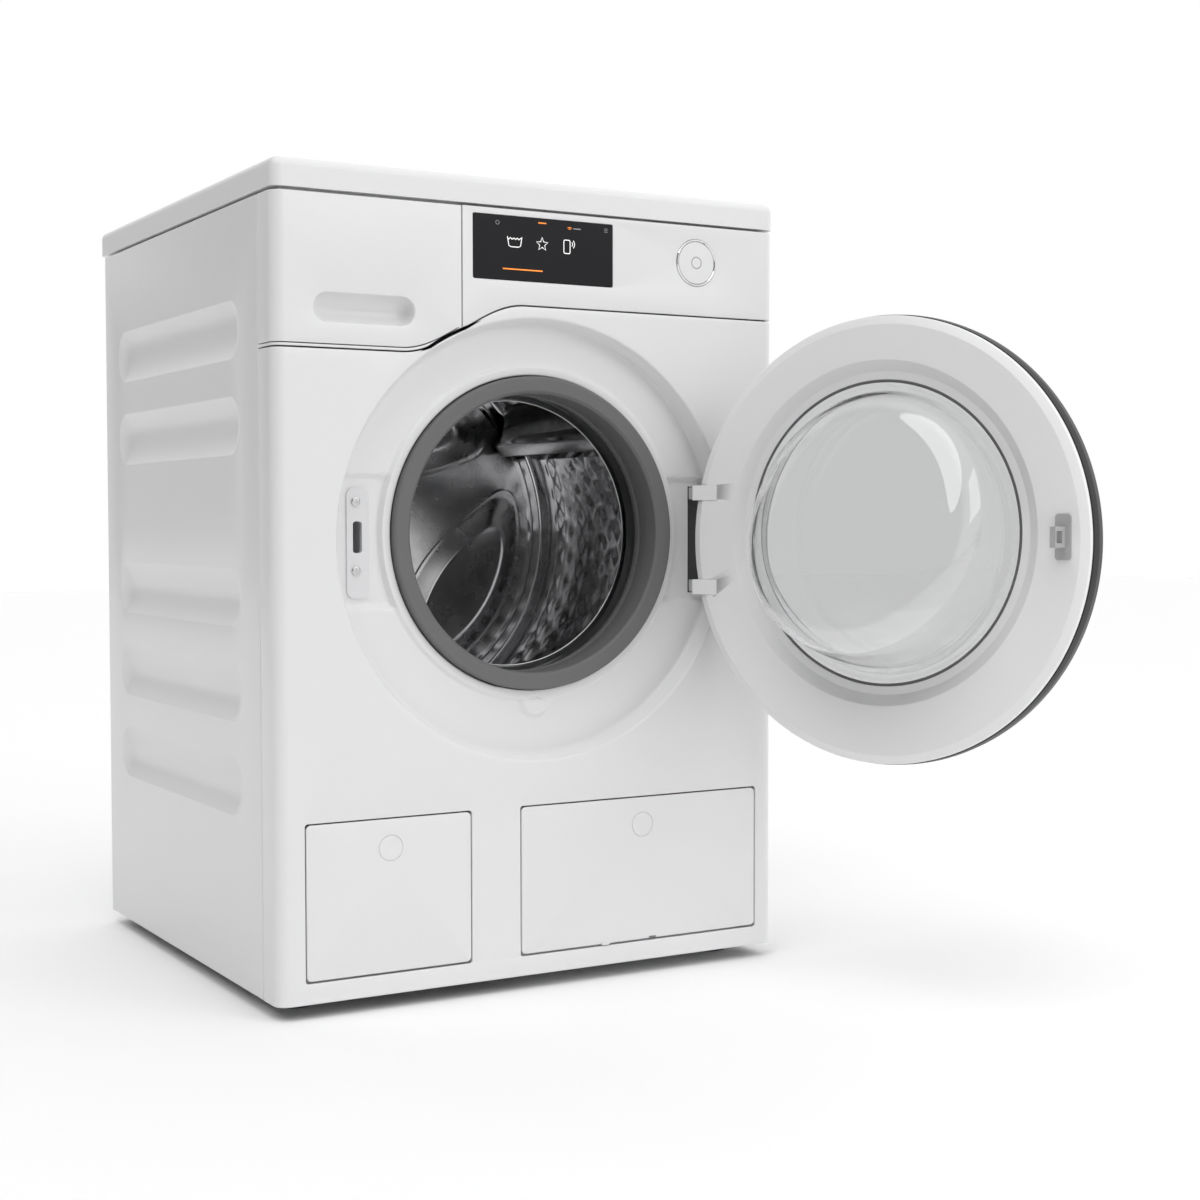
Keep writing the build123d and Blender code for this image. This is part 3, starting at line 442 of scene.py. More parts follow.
def bezier(a, b, c, d, count):
    """Points of a cubic curve from a to d, pulled by b and c."""
    points = []
    for k in range(count + 1):
        t = k / count
        s = 1 - t
        w = (s**3, 3 * s * s * t, 3 * s * t * t, t**3)
        points.append(tuple(sum(q * p[i] for q, p in zip(w, (a, b, c, d))) for i in range(len(a))))
    return points


# ---------------------------------------------------------------- the seam that the front pieces share
SEAM_LOW, SEAM_HIGH = 666.0, 719.5
SEAM_START, SEAM_END = -160.0, -20.0
END = FLAT + ARC + WRAP - CORNER      # unrolled half width of the wrapped skin


def seam(lift, u0, u1):
    """Seam from u0 to u1, moved up by lift."""
    pull = (SEAM_END - SEAM_START) * 0.357
    start, end = (SEAM_START, SEAM_LOW), (SEAM_END, SEAM_HIGH)
    curve = bezier(start, (SEAM_START + pull, SEAM_LOW), (SEAM_END - pull, SEAM_HIGH), end, 40)
    line = [(u, v) for u, v in curve if u0 < u < u1]
    first = SEAM_LOW if u0 <= SEAM_START else line[0][1]
    last = SEAM_HIGH if u1 >= SEAM_END else line[-1][1]
    lower = [(u0, first)] + line + [(u1, last)]
    moved = []
    for i, (u, v) in enumerate(lower):
        a = lower[max(0, i - 1)]
        b = lower[min(len(lower) - 1, i + 1)]
        run = Vector((b[0] - a[0], b[1] - a[1])).normalized()
        if i in (0, len(lower) - 1):
            run = Vector((1, 0))
        moved.append((u - run.y * lift, v + run.x * lift))
    return moved


# ---------------------------------------------------------------- front panel
FLAPS = {"left": mm_box("flap_left"), "right": mm_box("flap_right")}
RIM = 238.0                    # outside of the soft edge round the door recess
RECESS_DEPTH = 20.0
BAND = 67.0                    # half height of the deeper band
BAND_DEPTH = 4.0
BEAD_DEPTH = 17.0              # front of the bead round the porthole
SCREW_Z = 305.0                # height of the clamp screw above the floor
BUMP_RISE = 3.2                # height of the bump that the clamp screw sits on
PORT = 166.3


def front_panel():
    """Front sheet in one piece: the flat, the recess and its floor, and the bead round the porthole."""
    count = 480
    outer = [(-END, SKIRT_Z), (END, SKIRT_Z)] + list(reversed(seam(-0.8, -END, END)))
    holes = []
    for low, high in FLAPS.values():
        holes.append(rounded_loop(low.x - 1.3, high.x + 1.3, low.z - 2.2, high.z + 1.4, 3.2))
    recess = circle_loop(0, DOOR_Z, RIM, count)
    flat = plate(outer, holes, [recess], radius=1.1, wall=7.0, bends=BENDS)
    deep = RECESS_DEPTH
    wall = soft([(0, 236.5, 0), (0, 232.2, 4.0), (deep, 226.8, 5.0), (deep, 218, 0)], steps=7)
    bead = [(deep, 188, 0), (deep, 179, 3.5), (BEAD_DEPTH, 175.4, 2.4), (BEAD_DEPTH, 167.2, 1.6)]
    bead = soft(bead + [(25, PORT, 0)], steps=5)
    rings = [(DOOR_Z, RIM, 0.0)] + [(DOOR_Z, r, d) for d, r in wall]
    outer_floor, inner_floor = wall[-1][1], bead[0][1]
    steps = 26
    for k in range(1, steps):
        t = k / steps
        radius = outer_floor + (inner_floor - outer_floor) * t
        rings.append((DOOR_Z + (DRUM_Z - DOOR_Z) * t, radius, deep))
    rings += [(DRUM_Z, r, d) for d, r in bead]
    loops = []
    for centre, radius, depth in rings:
        loop = []
        for k in range(count):
            a = FULL * k / count
            x, z = -radius * math.sin(a), centre + radius * math.cos(a)
            loop.append((x, depth + sunk(x, z, depth, radius), z))
        loops.append(loop)
    points, faces = strips(loops)
    body = wrapped(joined(flat, (points, faces)))
    panel = piece("panel_front", body, "cabinet", "white_steel", ["front_panel"], angle=24)
    cut(panel, [((197.2, 220.8), (10, 50), (415.5, 533.5)), ((-206, -196), (10, 50), (462, 496))])
    return panel


def sunk(x, z, depth, radius):
    """How much deeper the recess lies in the band across it, and how far the screw's bump rises."""
    floor_share = smooth_step(depth, BEAD_DEPTH, RECESS_DEPTH)
    share = min(1.0, depth / RECESS_DEPTH) if radius > 190 else floor_share
    if radius < 176 and depth >= BEAD_DEPTH:
        share = 0.0
    band = 1 - smooth_step(abs(z - DOOR_Z), BAND - 3.5, BAND + 2.5)
    return BAND_DEPTH * band * share - BUMP_RISE * bump_height(x, z) * floor_share


def bump_height(x, z):
    """1 on the funnel-shaped bump under the porthole, 0 off it."""
    top, foot, low = 319.0, SCREW_Z, 17.0
    if z > top + 8 or z < 270 or abs(x) > 80:
        return 0.0
    across = abs(x)
    if z <= foot:
        edge = math.hypot(across, z - foot) - low
    else:
        t = min(1.0, (z - foot) / (top - foot))
        half = low + (44.0 - low) * t * t
        edge = (across - half) * 0.75
    return 1 - smooth_step(edge, -2.2, 2.6)


def cut(obj, blocks, door=False):
    """Cuts rectangular openings, given as pairs of x, depth and z."""
    for xs, ds, zs in blocks:
        corners = [(x, FRONT + d, z) for x in xs for d in ds for z in zs]
        if door:
            corners = [swing(c) for c in corners]
        faces = [(0, 1, 3, 2), (4, 6, 7, 5), (0, 4, 5, 1), (2, 3, 7, 6), (0, 2, 6, 4), (1, 5, 7, 3)]
        mesh = bpy.data.meshes.new("cutter")
        mesh.from_pydata([Vector(c) * MM + MIDDLE for c in corners], [], faces)
        tool = bpy.data.objects.new("cutter", mesh)
        bpy.context.scene.collection.objects.link(tool)
        hole = obj.modifiers.new("hole", "BOOLEAN")
        hole.operation, hole.solver, hole.object = "DIFFERENCE", "EXACT", tool
        apply_modifiers(obj)
        bpy.data.objects.remove(tool)


def apply_modifiers(obj):
    graph = bpy.context.evaluated_depsgraph_get()
    done = bpy.data.meshes.new_from_object(obj.evaluated_get(graph))
    obj.modifiers.clear()
    obj.data = done


# ---------------------------------------------------------------- fascia, drawer front, flaps
DRAWER_RIGHT = drawer_high.x
HANDLE = (-200.5, 706.0, 109.0, 29.5)    # centre, length and height of the finger recess


def fascia():
    """Control panel: its strip runs on over the drawer front."""
    strip_top = list(reversed(seam(3.4, -END, DRAWER_RIGHT + 1.4)))
    outer = seam(0.8, -END, END) + [(END, BODY_TOP), (DRAWER_RIGHT + 1.4, BODY_TOP)] + strip_top
    low, high = display_low, display_high
    well = rounded_loop(low.x - 0.5, high.x + 0.5, low.z - 0.5, high.z + 0.5, 2.0)
    dial = circle_loop(*BUTTON, 25.7, 96)
    face = plate(outer, [well, dial], radius=0.7, wall=5.0, bends=BENDS)
    return piece("fascia_shell", wrapped(face), "cabinet", "white_plastic", ["control_fascia"], angle=24)


def drawer_face():
    """Drawer front with its round lower corner and finger recess."""
    bottom = seam(4.5, -END, DRAWER_RIGHT)
    right, top = DRAWER_RIGHT, drawer_high.z
    corner = soft([(*bottom[-2], 0), (*bottom[-1], 7.0), (right, top, 0)], steps=6)
    outer = bottom[:-1] + corner[1:] + [(-END, top)]
    x, z, length, height = HANDLE
    half, tall = length / 2, height / 2
    grip = rounded_loop(x - half, x + half, z - tall, z + tall, tall - 0.01, 14)
    face = plate(outer, [], [offset_loop(grip, -1.6)], radius=0.8, wall=20.0, bends=BENDS)
    rim = [(-1.6, 0.0), (-0.9, 0.12), (-0.3, 0.55), (0.05, 1.3), (0.2, 2.4)]
    steps = (0.02, 0.06, 0.12, 0.2, 0.3, 0.42, 0.56, 0.72, 0.88, 0.99)
    bowl = [(0.2 + (tall - 0.3) * t, 2.4 + 13.5 * math.sqrt(1 - (1 - t) ** 2)) for t in steps]
    shape = wrapped(joined(face, pressed(grip, rim + bowl)))
    return piece("drawer_face", shape, "drawer", "white_plastic", ["drawer_front"], angle=24)


PRESS_Z, PRESS_R = 164.3, 14.0           # where a flap is pressed to open it


def flap(side, press_x, tabs):
    """Service flap with its round press mark, and notches in its lower edge."""
    low, high = FLAPS[side]
    outer = rounded_loop(low.x, high.x, low.z, high.z, 5.0)
    disc = circle_loop(press_x, PRESS_Z, PRESS_R, 96)
    face = plate(outer, [], [disc], radius=1.2, wall=3.0)
    groove = [(0.0, 0.0), (0.3, 0.25), (0.6, 1.0), (1.2, 1.0), (1.6, 0.15), (2.2, 0.02)]
    dish = [(6.0, 0.5), (10.0, 0.8), (13.9, 0.9)]
    shape = straight(joined(face, pressed(disc, groove + dish)))
    node = "flap_" + side
    skin = piece(node + "_skin", shape, node, "white_plastic", [node], angle=24)
    if tabs:
        cut(skin, [((x - 4.5, x + 4.5), (-1, 3.2), (low.z - 1, low.z + 2.4)) for x in tabs])
    return skin


# ---------------------------------------------------------------- sides
HOLLOWS = (691.0, 593.0, 416.75, 319.0, 220.75)      # heights of the hollows' middle lines
HOLLOW_Y = 11.0
HOLLOW_HALF = (211.0, 30.5)                          # half length and half height
HOLLOW_DEPTH = 7.6


def side_skin(side):
    """Sheet side with five scooped hollows, laid out in y and z, then stood at its place."""
    y0, y1 = side_low.y, side_high.y
    z0, z1 = side_low.z, side_high.z
    outer = [(y0, z0), (y1, z0), (y1, z1), (y0, z1)]
    half, tall = HOLLOW_HALF
    steps = (0.04, 0.1, 0.18, 0.28, 0.4, 0.54, 0.7, 0.86, 0.96)
    profile = [(0.0, 0.0), (0.35, 0.05), (0.8, 0.22)]
    profile += [(0.8 + 28.6 * t, 0.22 + HOLLOW_DEPTH * (1 - (1 - t) ** 2)) for t in steps]
    scoops, loops = [], []
    for z in HOLLOWS:
        loop = rounded_loop(HOLLOW_Y - half, HOLLOW_Y + half, z - tall, z + tall, 29.0, 14)
        loops.append(loop)
        scoops.append(pressed(loop, profile))
    sheet = plate(outer, [], loops, radius=1.6, wall=9.0)
    points, faces = joined(sheet, *scoops)
    x = side * HALF
    shape = [(x - side * d, u, v) for u, d, v in points], faces
    name = "left" if side < 0 else "right"
    return piece("side_skin_" + name, shape, "cabinet", "white_steel", ["side_panel_" + name], angle=24)


# ---------------------------------------------------------------- gasket
def gasket():
    """Rubber bellows from its flat lip at the front to its neck on the tub."""
    profile = soft(
        [
            (26, 170, 0),
            (26, 165.9, 0.5),
            (10.2, 165.6, 1.2),
            (9.05, 163.5, 1.5),
            (9.4, 150.5, 1.6),
            (12, 147.6, 2.0),
            (30, 146.8, 3.0),
            (43, 147.4, 1.5),
            (44.5, 151.5, 1.0),
            (46.5, 151.5, 1.0),
            (47.5, 146.9, 1.5),
            (56, 147.5, 4.0),
            (61.4, 154, 3.0),
            (61.6, 164.8, 0.8),
            (52, 164.8, 0),
        ],
        steps=5,
    )
    shape = turned(profile, count=ROUND)
    return piece("gasket_bellows", shape, "cabinet", "grey_rubber", ["door_gasket"], angle=35)


# ---------------------------------------------------------------- drum
drum_high = mm_box("drum_shell")[1]
DRUM_R = drum_high.x
DRUM_SHEET = 1.2
BACK = drum_high.y - FRONT - DRUM_SHEET  # inner face of the drum's back, at its edge
BACK_FLAT = BACK - 5.5                   # the same, in the star's arms
BACK_R = 209.0
WALL = (104.0, 404.0)                    # depths between which the drum is straight
CELLS = 46                               # honeycomb cells round the drum
CUSHION = 1.5                            # how far a cell stands inwards
LIFTERS = {"right": 33.0, "left": 153.0, "lower": 273.0}


def honeycomb(along, around, size):
    """0 on the ridges of a hexagon pattern, 1 in the middle of a cell."""
    row = size * 0.75
    j = math.floor(along / row)
    best = 9.0
    for dj in (-1, 0, 1, 2):
        cy = (j + dj) * row
        shift = 0.5 * size * 0.866 if (j + dj) % 2 else 0.0
        wide = size * 0.866
        cx = math.floor((around - shift) / wide + 0.5) * wide + shift
        best = min(best, hex_distance(around - cx, along - cy) / (size * 0.433))
    return 0.5 + 0.5 * math.cos(math.pi * min(1.0, best))


def hex_distance(a, b):
    """Distance from a hexagon's middle, measured so that each hexagon round it has one value."""
    a, b = abs(a), abs(b)
    return max(a, a * 0.5 + b * 0.866)


def drum_wall():
    """Cylinder with pressed honeycomb cushions, and the rounded lip at the front."""
    count = 480
    cell = FULL * DRUM_R / CELLS / 0.866
    inner = DRUM_R - DRUM_SHEET
    start, stop = WALL
    lip = [(79.2, 151, 0), (75.4, 143.5, 0.7), (75.9, 142.8, 0.5), (78.2, 144.2, 1.0), (79.9, 151, 3)]
    lip += [(85.5, 228, 9), (96, inner, 4), (start, inner, 0)]
    rings = [ring(d, r, count=count) for d, r in soft(lip, steps=5)]
    steps = 104
    for k in range(1, steps + 1):
        depth = start + (stop - start) * k / steps
        loop = []
        fade = smooth_step(depth, start, start + 14) * (1 - smooth_step(depth, stop - 12, stop))
        for i in range(count):
            a = FULL * i / count
            r = inner - honeycomb(depth, a * DRUM_R, cell) * fade * CUSHION
            loop.append((r * math.sin(a), FRONT + depth, DRUM_Z + r * math.cos(a)))
        rings.append(loop)
    heel = [(stop, inner, 0), (416, inner, 8), (BACK - 0.4, 231, 6), (BACK - 0.4, 219, 2.0)]
    heel += [(BACK_FLAT, 215.5, 2.0), (BACK_FLAT, BACK_R, 0)]
    rings += [ring(d, r, count=count) for d, r in soft(heel, steps=6)[1:]]
    return piece("drum_wall", strips(rings), "drum", "drum_steel", ["drum_shell"], angle=32)


LOBE_RIM = 197.0
LOBE_MIDDLE = 128.0
LOBE_FLANKS = [(1, math.radians(63.3), 53.0), (-1, math.radians(71.0), 37.0)]   # side, turn, offset
LOBE_EDGE = [(-1.2, 0.0), (0.0, 0.5), (1.4, 1.1), (3.0, 1.1), (4.6, 1.0)]       # distance in, height
LOBE_TOP = [(8.0, 2.4), (22.0, 9.6), (25.0, 10.6), (26.4, 11.4), (28.0, 11.4), (29.6, 10.5), (31.5, 10.0)]


def lobe_inside(x, z, angle):
    """How far a point of the drum's back lies inside the lobe that points along angle."""
    along = x * math.cos(angle) + z * math.sin(angle)
    across = z * math.cos(angle) - x * math.sin(angle)
    left, right = (
        along * math.sin(turn) - side * across * math.cos(turn) - offset
        for side, turn, offset in LOBE_FLANKS
    )
    return soft_least(LOBE_RIM - math.hypot(x, z), soft_least(left, right, 60), 40)


def soft_least(a, b, blend_width):
    """The smaller of two numbers, rounded where they are close."""
    h = max(blend_width - abs(a - b), 0.0) / blend_width
    return min(a, b) - h * h * blend_width * 0.25


def lobe_loop(angle, inset, count=288):
    """Outline of a lobe at a distance in from its edge, found along rays from its middle by halving."""
    x0, z0 = LOBE_MIDDLE * math.cos(angle), LOBE_MIDDLE * math.sin(angle)
    loop = []
    for k in range(count):
        c, s = math.cos(FULL * k / count), math.sin(FULL * k / count)
        near, far = 0.0, 190.0
        for _ in range(30):
            r = (near + far) / 2
            if lobe_inside(x0 + r * c, z0 + r * s, angle) > inset:
                near = r
            else:
                far = r
        loop.append((x0 + near * c, DRUM_Z + z0 + near * s))
    return loop


def drum_back():
    """Back wall with three lobes pressed forward between the star's arms."""
    lobes, holes = [], []
    for lifter_angle in LIFTERS.values():
        angle = math.radians(lifter_angle + 60)
        rings = [[(x, -rise, z) for x, z in lobe_loop(angle, inset)] for inset, rise in LOBE_EDGE + LOBE_TOP]
        holes.append([(x, z) for x, _, z in rings[0]])
        points, faces = strips(rings)
        last = (len(rings) - 1) * len(rings[0])
        faces.append(tuple(range(last, last + len(rings[0]))))
        lobes.append((points, faces))
    wall = plate(circle_loop(0, DRUM_Z, BACK_R, 480), [], holes, radius=0.2, wall=0.6)
    points, faces = joined(wall, *lobes)
    shape = [(x, FRONT + BACK_FLAT + d, z) for x, d, z in points], faces
    return piece("drum_back", shape, "drum", "drum_back_steel", angle=40)


LIFTER_TIP = 187.0                       # distance of the paddles' ridges from the drum's axis
LIFTER_FRONT = [(93, 0.0), (94, 0.5), (97, 0.85), (102, 0.97), (110, 1.0)]     # depth, share of the height
LIFTER_REAR = [(396, 1.0), (408, 0.97), (416, 0.85)]


def lifter(name, angle):
    """Paddle with a rounded ridge, drawn down at both ends."""
    a = math.radians(angle)
    out, side = Vector((math.cos(a), math.sin(a))), Vector((-math.sin(a), math.cos(a)))
    rings = []
    for depth, share in LIFTER_FRONT + LIFTER_REAR:
        tip = 237.5 - (237.5 - LIFTER_TIP) * share
        half = [(237, 44, 0), (236 - 6 * share, 38, 14), (tip + 14 * share, 10, 26), (tip, 8.5, 2.2)]
        section = soft(half + [(r, -w, round_off) for r, w, round_off in reversed(half)], steps=6, even=True)
        rings.append([
            (out.x * r + side.x * w, FRONT + depth, DRUM_Z + out.y * r + side.y * w) for r, w in section
        ])
    node = "lifter_" + name
    return piece(node + "_skin", strips(rings, around=False), "drum", "drum_steel", [node], angle=34)


# ---------------------------------------------------------------- hinge
ARMS = (416.5, 518.5)
ARM_HEIGHT = 14.0
EYE_R = 6.5                              # round end of an arm, about the pin
NOTCHES = [((196.5, 232), (-32, 18), (z - 1, z + ARM_HEIGHT + 1)) for z in ARMS]


def prism(outline, z0, z1, bevel=0.7):
    """Upright bar from a plan outline of (x, depth), with bevelled ends."""
    rings = []
    for inset, z in ((bevel, z0), (0.0, z0 + bevel), (0.0, z1 - bevel), (bevel, z1)):
        rings.append([(x, FRONT + d, z) for x, d in offset_loop(outline, inset)])
    points, faces = strips(rings)
    count = len(outline)
    faces.append(tuple(range(count)))
    faces.append(tuple(range(3 * count, 4 * count)))
    return points, faces


def hinge():
    """Two arms that reach out round the door's pin, and a black sheet behind the slot that they come out of,
    painted shade for the dark inside the opening.
    """
    eye_d = HINGE.y - FRONT
    near, far = eye_d - EYE_R, eye_d + EYE_R
    turns = [-math.pi / 2 + math.pi * k / 12 for k in range(1, 13)]
    eye = [(HINGE.x + EYE_R * math.cos(t), eye_d + EYE_R * math.sin(t)) for t in turns]
    outline = soft([(198, 28.6, 0), (198, eye_d + 1, 3), (205.5, near, 3), (HINGE.x, near, 0)], steps=4)
    outline += eye + soft([(HINGE.x, far, 0), (209, far, 1), (204.5, eye_d + 12, 1), (204.5, 28.6, 0)])[1:]
    for name, z in zip(("lower", "upper"), ARMS):
        arm = prism(outline, z, z + ARM_HEIGHT)
        piece("hinge_arm_" + name, arm, "cabinet", "hinge_metal", ["hinge_bracket"], angle=30)
    # Painted shade: a black sheet set behind the hinge slot, standing in for the shade inside the opening.
    pocket = prism([(186, 26), (236, 26), (236, 30), (186, 30)], 396, 553)
    piece("hinge_pocket_shade", pocket, "cabinet", "black_plastic", ["hinge_bracket"], angle=30)


# ---------------------------------------------------------------- door
INNER_DEPTH = 16.3                       # inner face of the door when it is shut


def door_inner():
    """Grey inner side of the door: bevelled plate with a cone round the glass."""
    face = INNER_DEPTH
    edge = [(-3.8, 224.2, 0), (6.8, 224.2, 0.8), (6.9, 227.7, 0.8), (12.3, 227.7, 1.6)]
    edge += [(face, 218.7, 2.6), (face, 212, 0)]
    cone = [(face, 180, 0), (face, 175.5, 2.2), (9.0, 164.6, 1.6), (9.0, 156.0, 0.6), (4.2, 155.7, 0)]
    rings = [ring(d, r, DOOR_Z, 0, ROUND) for d, r in soft(edge, steps=5)]
    rings += [ring(d, r, DRUM_Z, 0, ROUND) for d, r in soft(cone, steps=5)]
    inner = piece("door_inner", strips(rings), "door", "grey_plastic", ["door_frame"], angle=26, door=True)
    cut(inner, [((196.5, 228.0), (-32, 16.8), zs) for _, _, zs in NOTCHES], door=True)
    return inner


def door_rim():
    """Dark ring round the door, rounded towards its outer face."""
    profile = [(7.0, 224.9, 0), (6.6, 228.6, 0.5), (-4, 229.5, 8), (-14, 228.5, 10), (-28, 222.5, 12)]
    profile += [(-38, 213, 8), (-43, 203.5, 2), (-43, 200.5, 0.5), (-38, 200.5, 0)]
    shape = turned(soft(profile, steps=5), DOOR_Z, count=ROUND)
    rim = piece("door_rim", shape, "door", "dark_plastic", ["door_ring"], angle=30, door=True)
    cut(rim, NOTCHES, door=True)
    return rim


def door_pane():
    """Smoked outer cover, domed a little."""
    outside = [(-38.5, 200.2), (-42.5, 200.2), (-43, 199.6), (-47, 150), (-50, 80), (-51, 0.01)]
    inside = [(-47.5, 0.01), (-46.5, 80), (-43.4, 150), (-38.5, 199)]
    profile = soft([(d, r, 20 if 10 < r < 190 else 0) for d, r in outside + inside])
    shape = turned(profile, DOOR_Z, count=192, closed=True)
    return piece("door_pane", shape, "door", "smoked_plastic", ["door_cover"], angle=30, door=True)


# The bowl is a cone from its mouth, cut off by a slanting end that reaches deepest at the bottom.
SLOPE = 0.31                             # depth of the end lost per mm of height
BOWL_DEPTH = 74.5                        # depth of the end on the axis
MOUTH_DEPTH, MOUTH_R = 8.0, 144.3
LEAN = (105.5 - MOUTH_R) / 122           # change of the cone's radius per mm of depth


def bowl_rings(inset, edge, count):
    """Rings of the bowl from its mouth to the middle of its slanting end, smaller by inset."""
    depth = BOWL_DEPTH - inset
    mouth = Vector((MOUTH_DEPTH, MOUTH_R - inset))
    columns = []
    for k in range(count):
        a = FULL * k / count
        c = math.cos(a)
        # on the cone r = mouth.y + LEAN * (d - mouth.x), on the slanting end d = depth - SLOPE * r * c
        meet_r = (mouth.y + LEAN * (depth - mouth.x)) / (1 + LEAN * SLOPE * c)
        corner = Vector((depth - SLOPE * meet_r * c, meet_r))
        start = corner + (mouth - corner).normalized() * edge
        end = corner + Vector((SLOPE * c, -1)).normalized() * edge
        column = [mouth + (start - mouth) * t / 6 for t in range(6)]
        pulls = start + (corner - start) * 0.6, end + (corner - end) * 0.6
        column += [Vector(p) for p in bezier(start, *pulls, end, 10)]
        column += [end * (1 - t) + Vector((depth, 0.01)) * t for t in (0.2, 0.4, 0.6, 0.8, 1.0)]
        columns.append([(p.y * math.sin(a), FRONT + p.x, DRUM_Z + p.y * c) for p in column])
    return [list(r) for r in zip(*columns)]


def door_bowl():
    """Glass bowl 5 mm thick, with the flange that holds it in the door."""
    count = 256
    outside = bowl_rings(0, 26, count)
    inside = list(reversed(bowl_rings(5, 24, count)))
    flange = soft([(8.6, 146.5, 0), (8.6, 155.2, 0.8), (4.1, 155.2, 0.8), (4.1, 141, 0)], steps=4)
    flange_rings = [ring(d, r, DRUM_Z, 0, count) for d, r in reversed(flange)]
    rings = inside + flange_rings + outside
    return piece("door_bowl", strips(rings), "door", "clear_glass", ["door_glass"], angle=40, door=True)


def glass_seal():
    """Thin dark seal round the glass flange."""
    profile = [(8.5, 153.0, 0), (8.8, 155.4, 0.4), (8.3, 156.6, 0.4), (4.6, 156.4, 0.4), (4.4, 155.5, 0)]
    shape = turned(soft(profile + [(8.0, 155.4, 0)], steps=3), count=ROUND, closed=True)
    return piece("door_glass_seal", shape, "door", "grey_rubber", angle=40, door=True)


# ---------------------------------------------------------------- symbols, small screws
def screen_colour(name, colour, glow):
    """Printed or glowing mark."""
    m = Nodes(name)
    tone = m.ramp(m.noise(40.0, 2.0), tuple(c * 0.92 for c in colour), colour)
    m.link(tone, m.shader.inputs["Base Color"])
    m.set(Roughness=0.4, Emission_Color=(*colour, 1), Emission_Strength=glow)
    MATERIALS[name] = m.material


def ribbon(line, width, depth, closed=False):
    """Flat stroke along a line of (x, z), facing the front, 0.05 mm thick."""
    points, faces = [], []
    count = len(line)
    for i, (x, z) in enumerate(line):
        a = line[i - 1] if closed or i else line[0]
        b = line[(i + 1) % count] if closed or i < count - 1 else line[-1]
        run = Vector((b[0] - a[0], b[1] - a[1])).normalized()
        for side, d in ((1, 0), (-1, 0), (-1, 0.05), (1, 0.05)):
            points.append((x - side * run.y * width / 2, FRONT + depth + d, z + side * run.x * width / 2))
    for i in range(count if closed else count - 1):
        a, b = 4 * i, 4 * ((i + 1) % count)
        faces += [(a + k, a + (k + 1) % 4, b + (k + 1) % 4, b + k) for k in range(4)]
    if not closed:
        faces += [(0, 1, 2, 3), (4 * count - 4, 4 * count - 3, 4 * count - 2, 4 * count - 1)]
    return points, faces


def arc(x, z, radius, start, stop, count=12):
    angles = [math.radians(start + (stop - start) * k / count) for k in range(count + 1)]
    return [(x + radius * math.cos(a), z + radius * math.sin(a)) for a in angles]


def symbols():
    """Generic marks: basin, star, handset, bars, arcs and dots on the display, a ring on the button."""
    depth = display_low.y - FRONT - 0.06
    screen_colour("screen_white", (0.85, 0.85, 0.85), 0.55)
    screen_colour("screen_orange", (0.9, 0.25, 0.02), 0.7)
    tub = [(-40.5, 790), (-38.8, 780.5), (-36, 779.5), (-28, 779.5), (-25.2, 780.5), (-23.5, 790)]
    waves = [(-40 + 16.0 * k / 16, 788 - 0.9 * math.sin(k * math.pi / 2)) for k in range(17)]
    star = []
    for k in range(10):
        a, r = math.radians(90 + 36 * k), 7.2 if k % 2 == 0 else 3.1
        star.append((0.5 + r * math.cos(a), 784.5 + r * math.sin(a)))
    phone = rounded_loop(26.5, 34, 777, 791, 1.6, 4)
    strokes = [ribbon(tub, 0.9, depth), ribbon(waves, 0.9, depth), ribbon(star, 0.9, depth, True),
               ribbon(phone, 0.9, depth, True), ribbon(arc(34.5, 787, 2.6, -50, 50), 0.8, depth),
               ribbon(arc(34.5, 787, 5.0, -50, 50), 0.8, depth)]
    piece("display_symbols", joined(*strokes), "cabinet", "screen_white")
    bars = [ribbon([(-46, 756.5), (1, 756.5)], 1.3, depth), ribbon([(-4, 806.5), (5.5, 806.5)], 1.2, depth)]
    bars += [ribbon(arc(33.5, 801.2, radius, 45, 135, 6), 0.7, depth) for radius in (1.8, 3.4)]
    piece("display_marks", joined(*bars), "cabinet", "screen_orange")
    dim = [ribbon(circle_loop(-52, 803.5, 2.0, 24), 0.5, depth, True)]
    dim.append(ribbon([(38, 803.5), (47, 803.5)], 1.1, depth))
    dim += [ribbon([(76, 806.3 - 1.7 * k), (80, 806.3 - 1.7 * k)], 0.5, depth) for k in range(3)]
    screen_colour("screen_grey", (0.3, 0.3, 0.3), 0.12)
    piece("display_dim_marks", joined(*dim), "cabinet", "screen_grey")
    button_low = mm_box("power_button")[0]
    ring_mark = ribbon(circle_loop(*BUTTON, 6.2, 48), 1.1, button_low.y - FRONT - 0.04, True)
    screen_colour("print_grey", (0.3, 0.3, 0.3), 0.0)
    piece("button_symbol", ring_mark, "button", "print_grey")


def small_screw(name, x, z, front, back, radius, replaces=()):
    """Screw with a raised head and a cross recess."""
    profile = [(back, radius, 0), (front + 0.5, radius, 0), (front, radius - 0.8, 1.2)]
    shape = turned(soft(profile + [(front - 0.1, 0.01, 0)], steps=4), z, x, 48)
    screw = piece(name, shape, "cabinet", "screw_steel", replaces, angle=30)
    reach, depths = radius * 0.6, (front - 1, front + 1.2)
    level = (x - reach, x + reach), depths, (z - 0.5, z + 0.5)
    upright = (x - 0.5, x + 0.5), depths, (z - reach, z + reach)
    cut(screw, [level, upright])


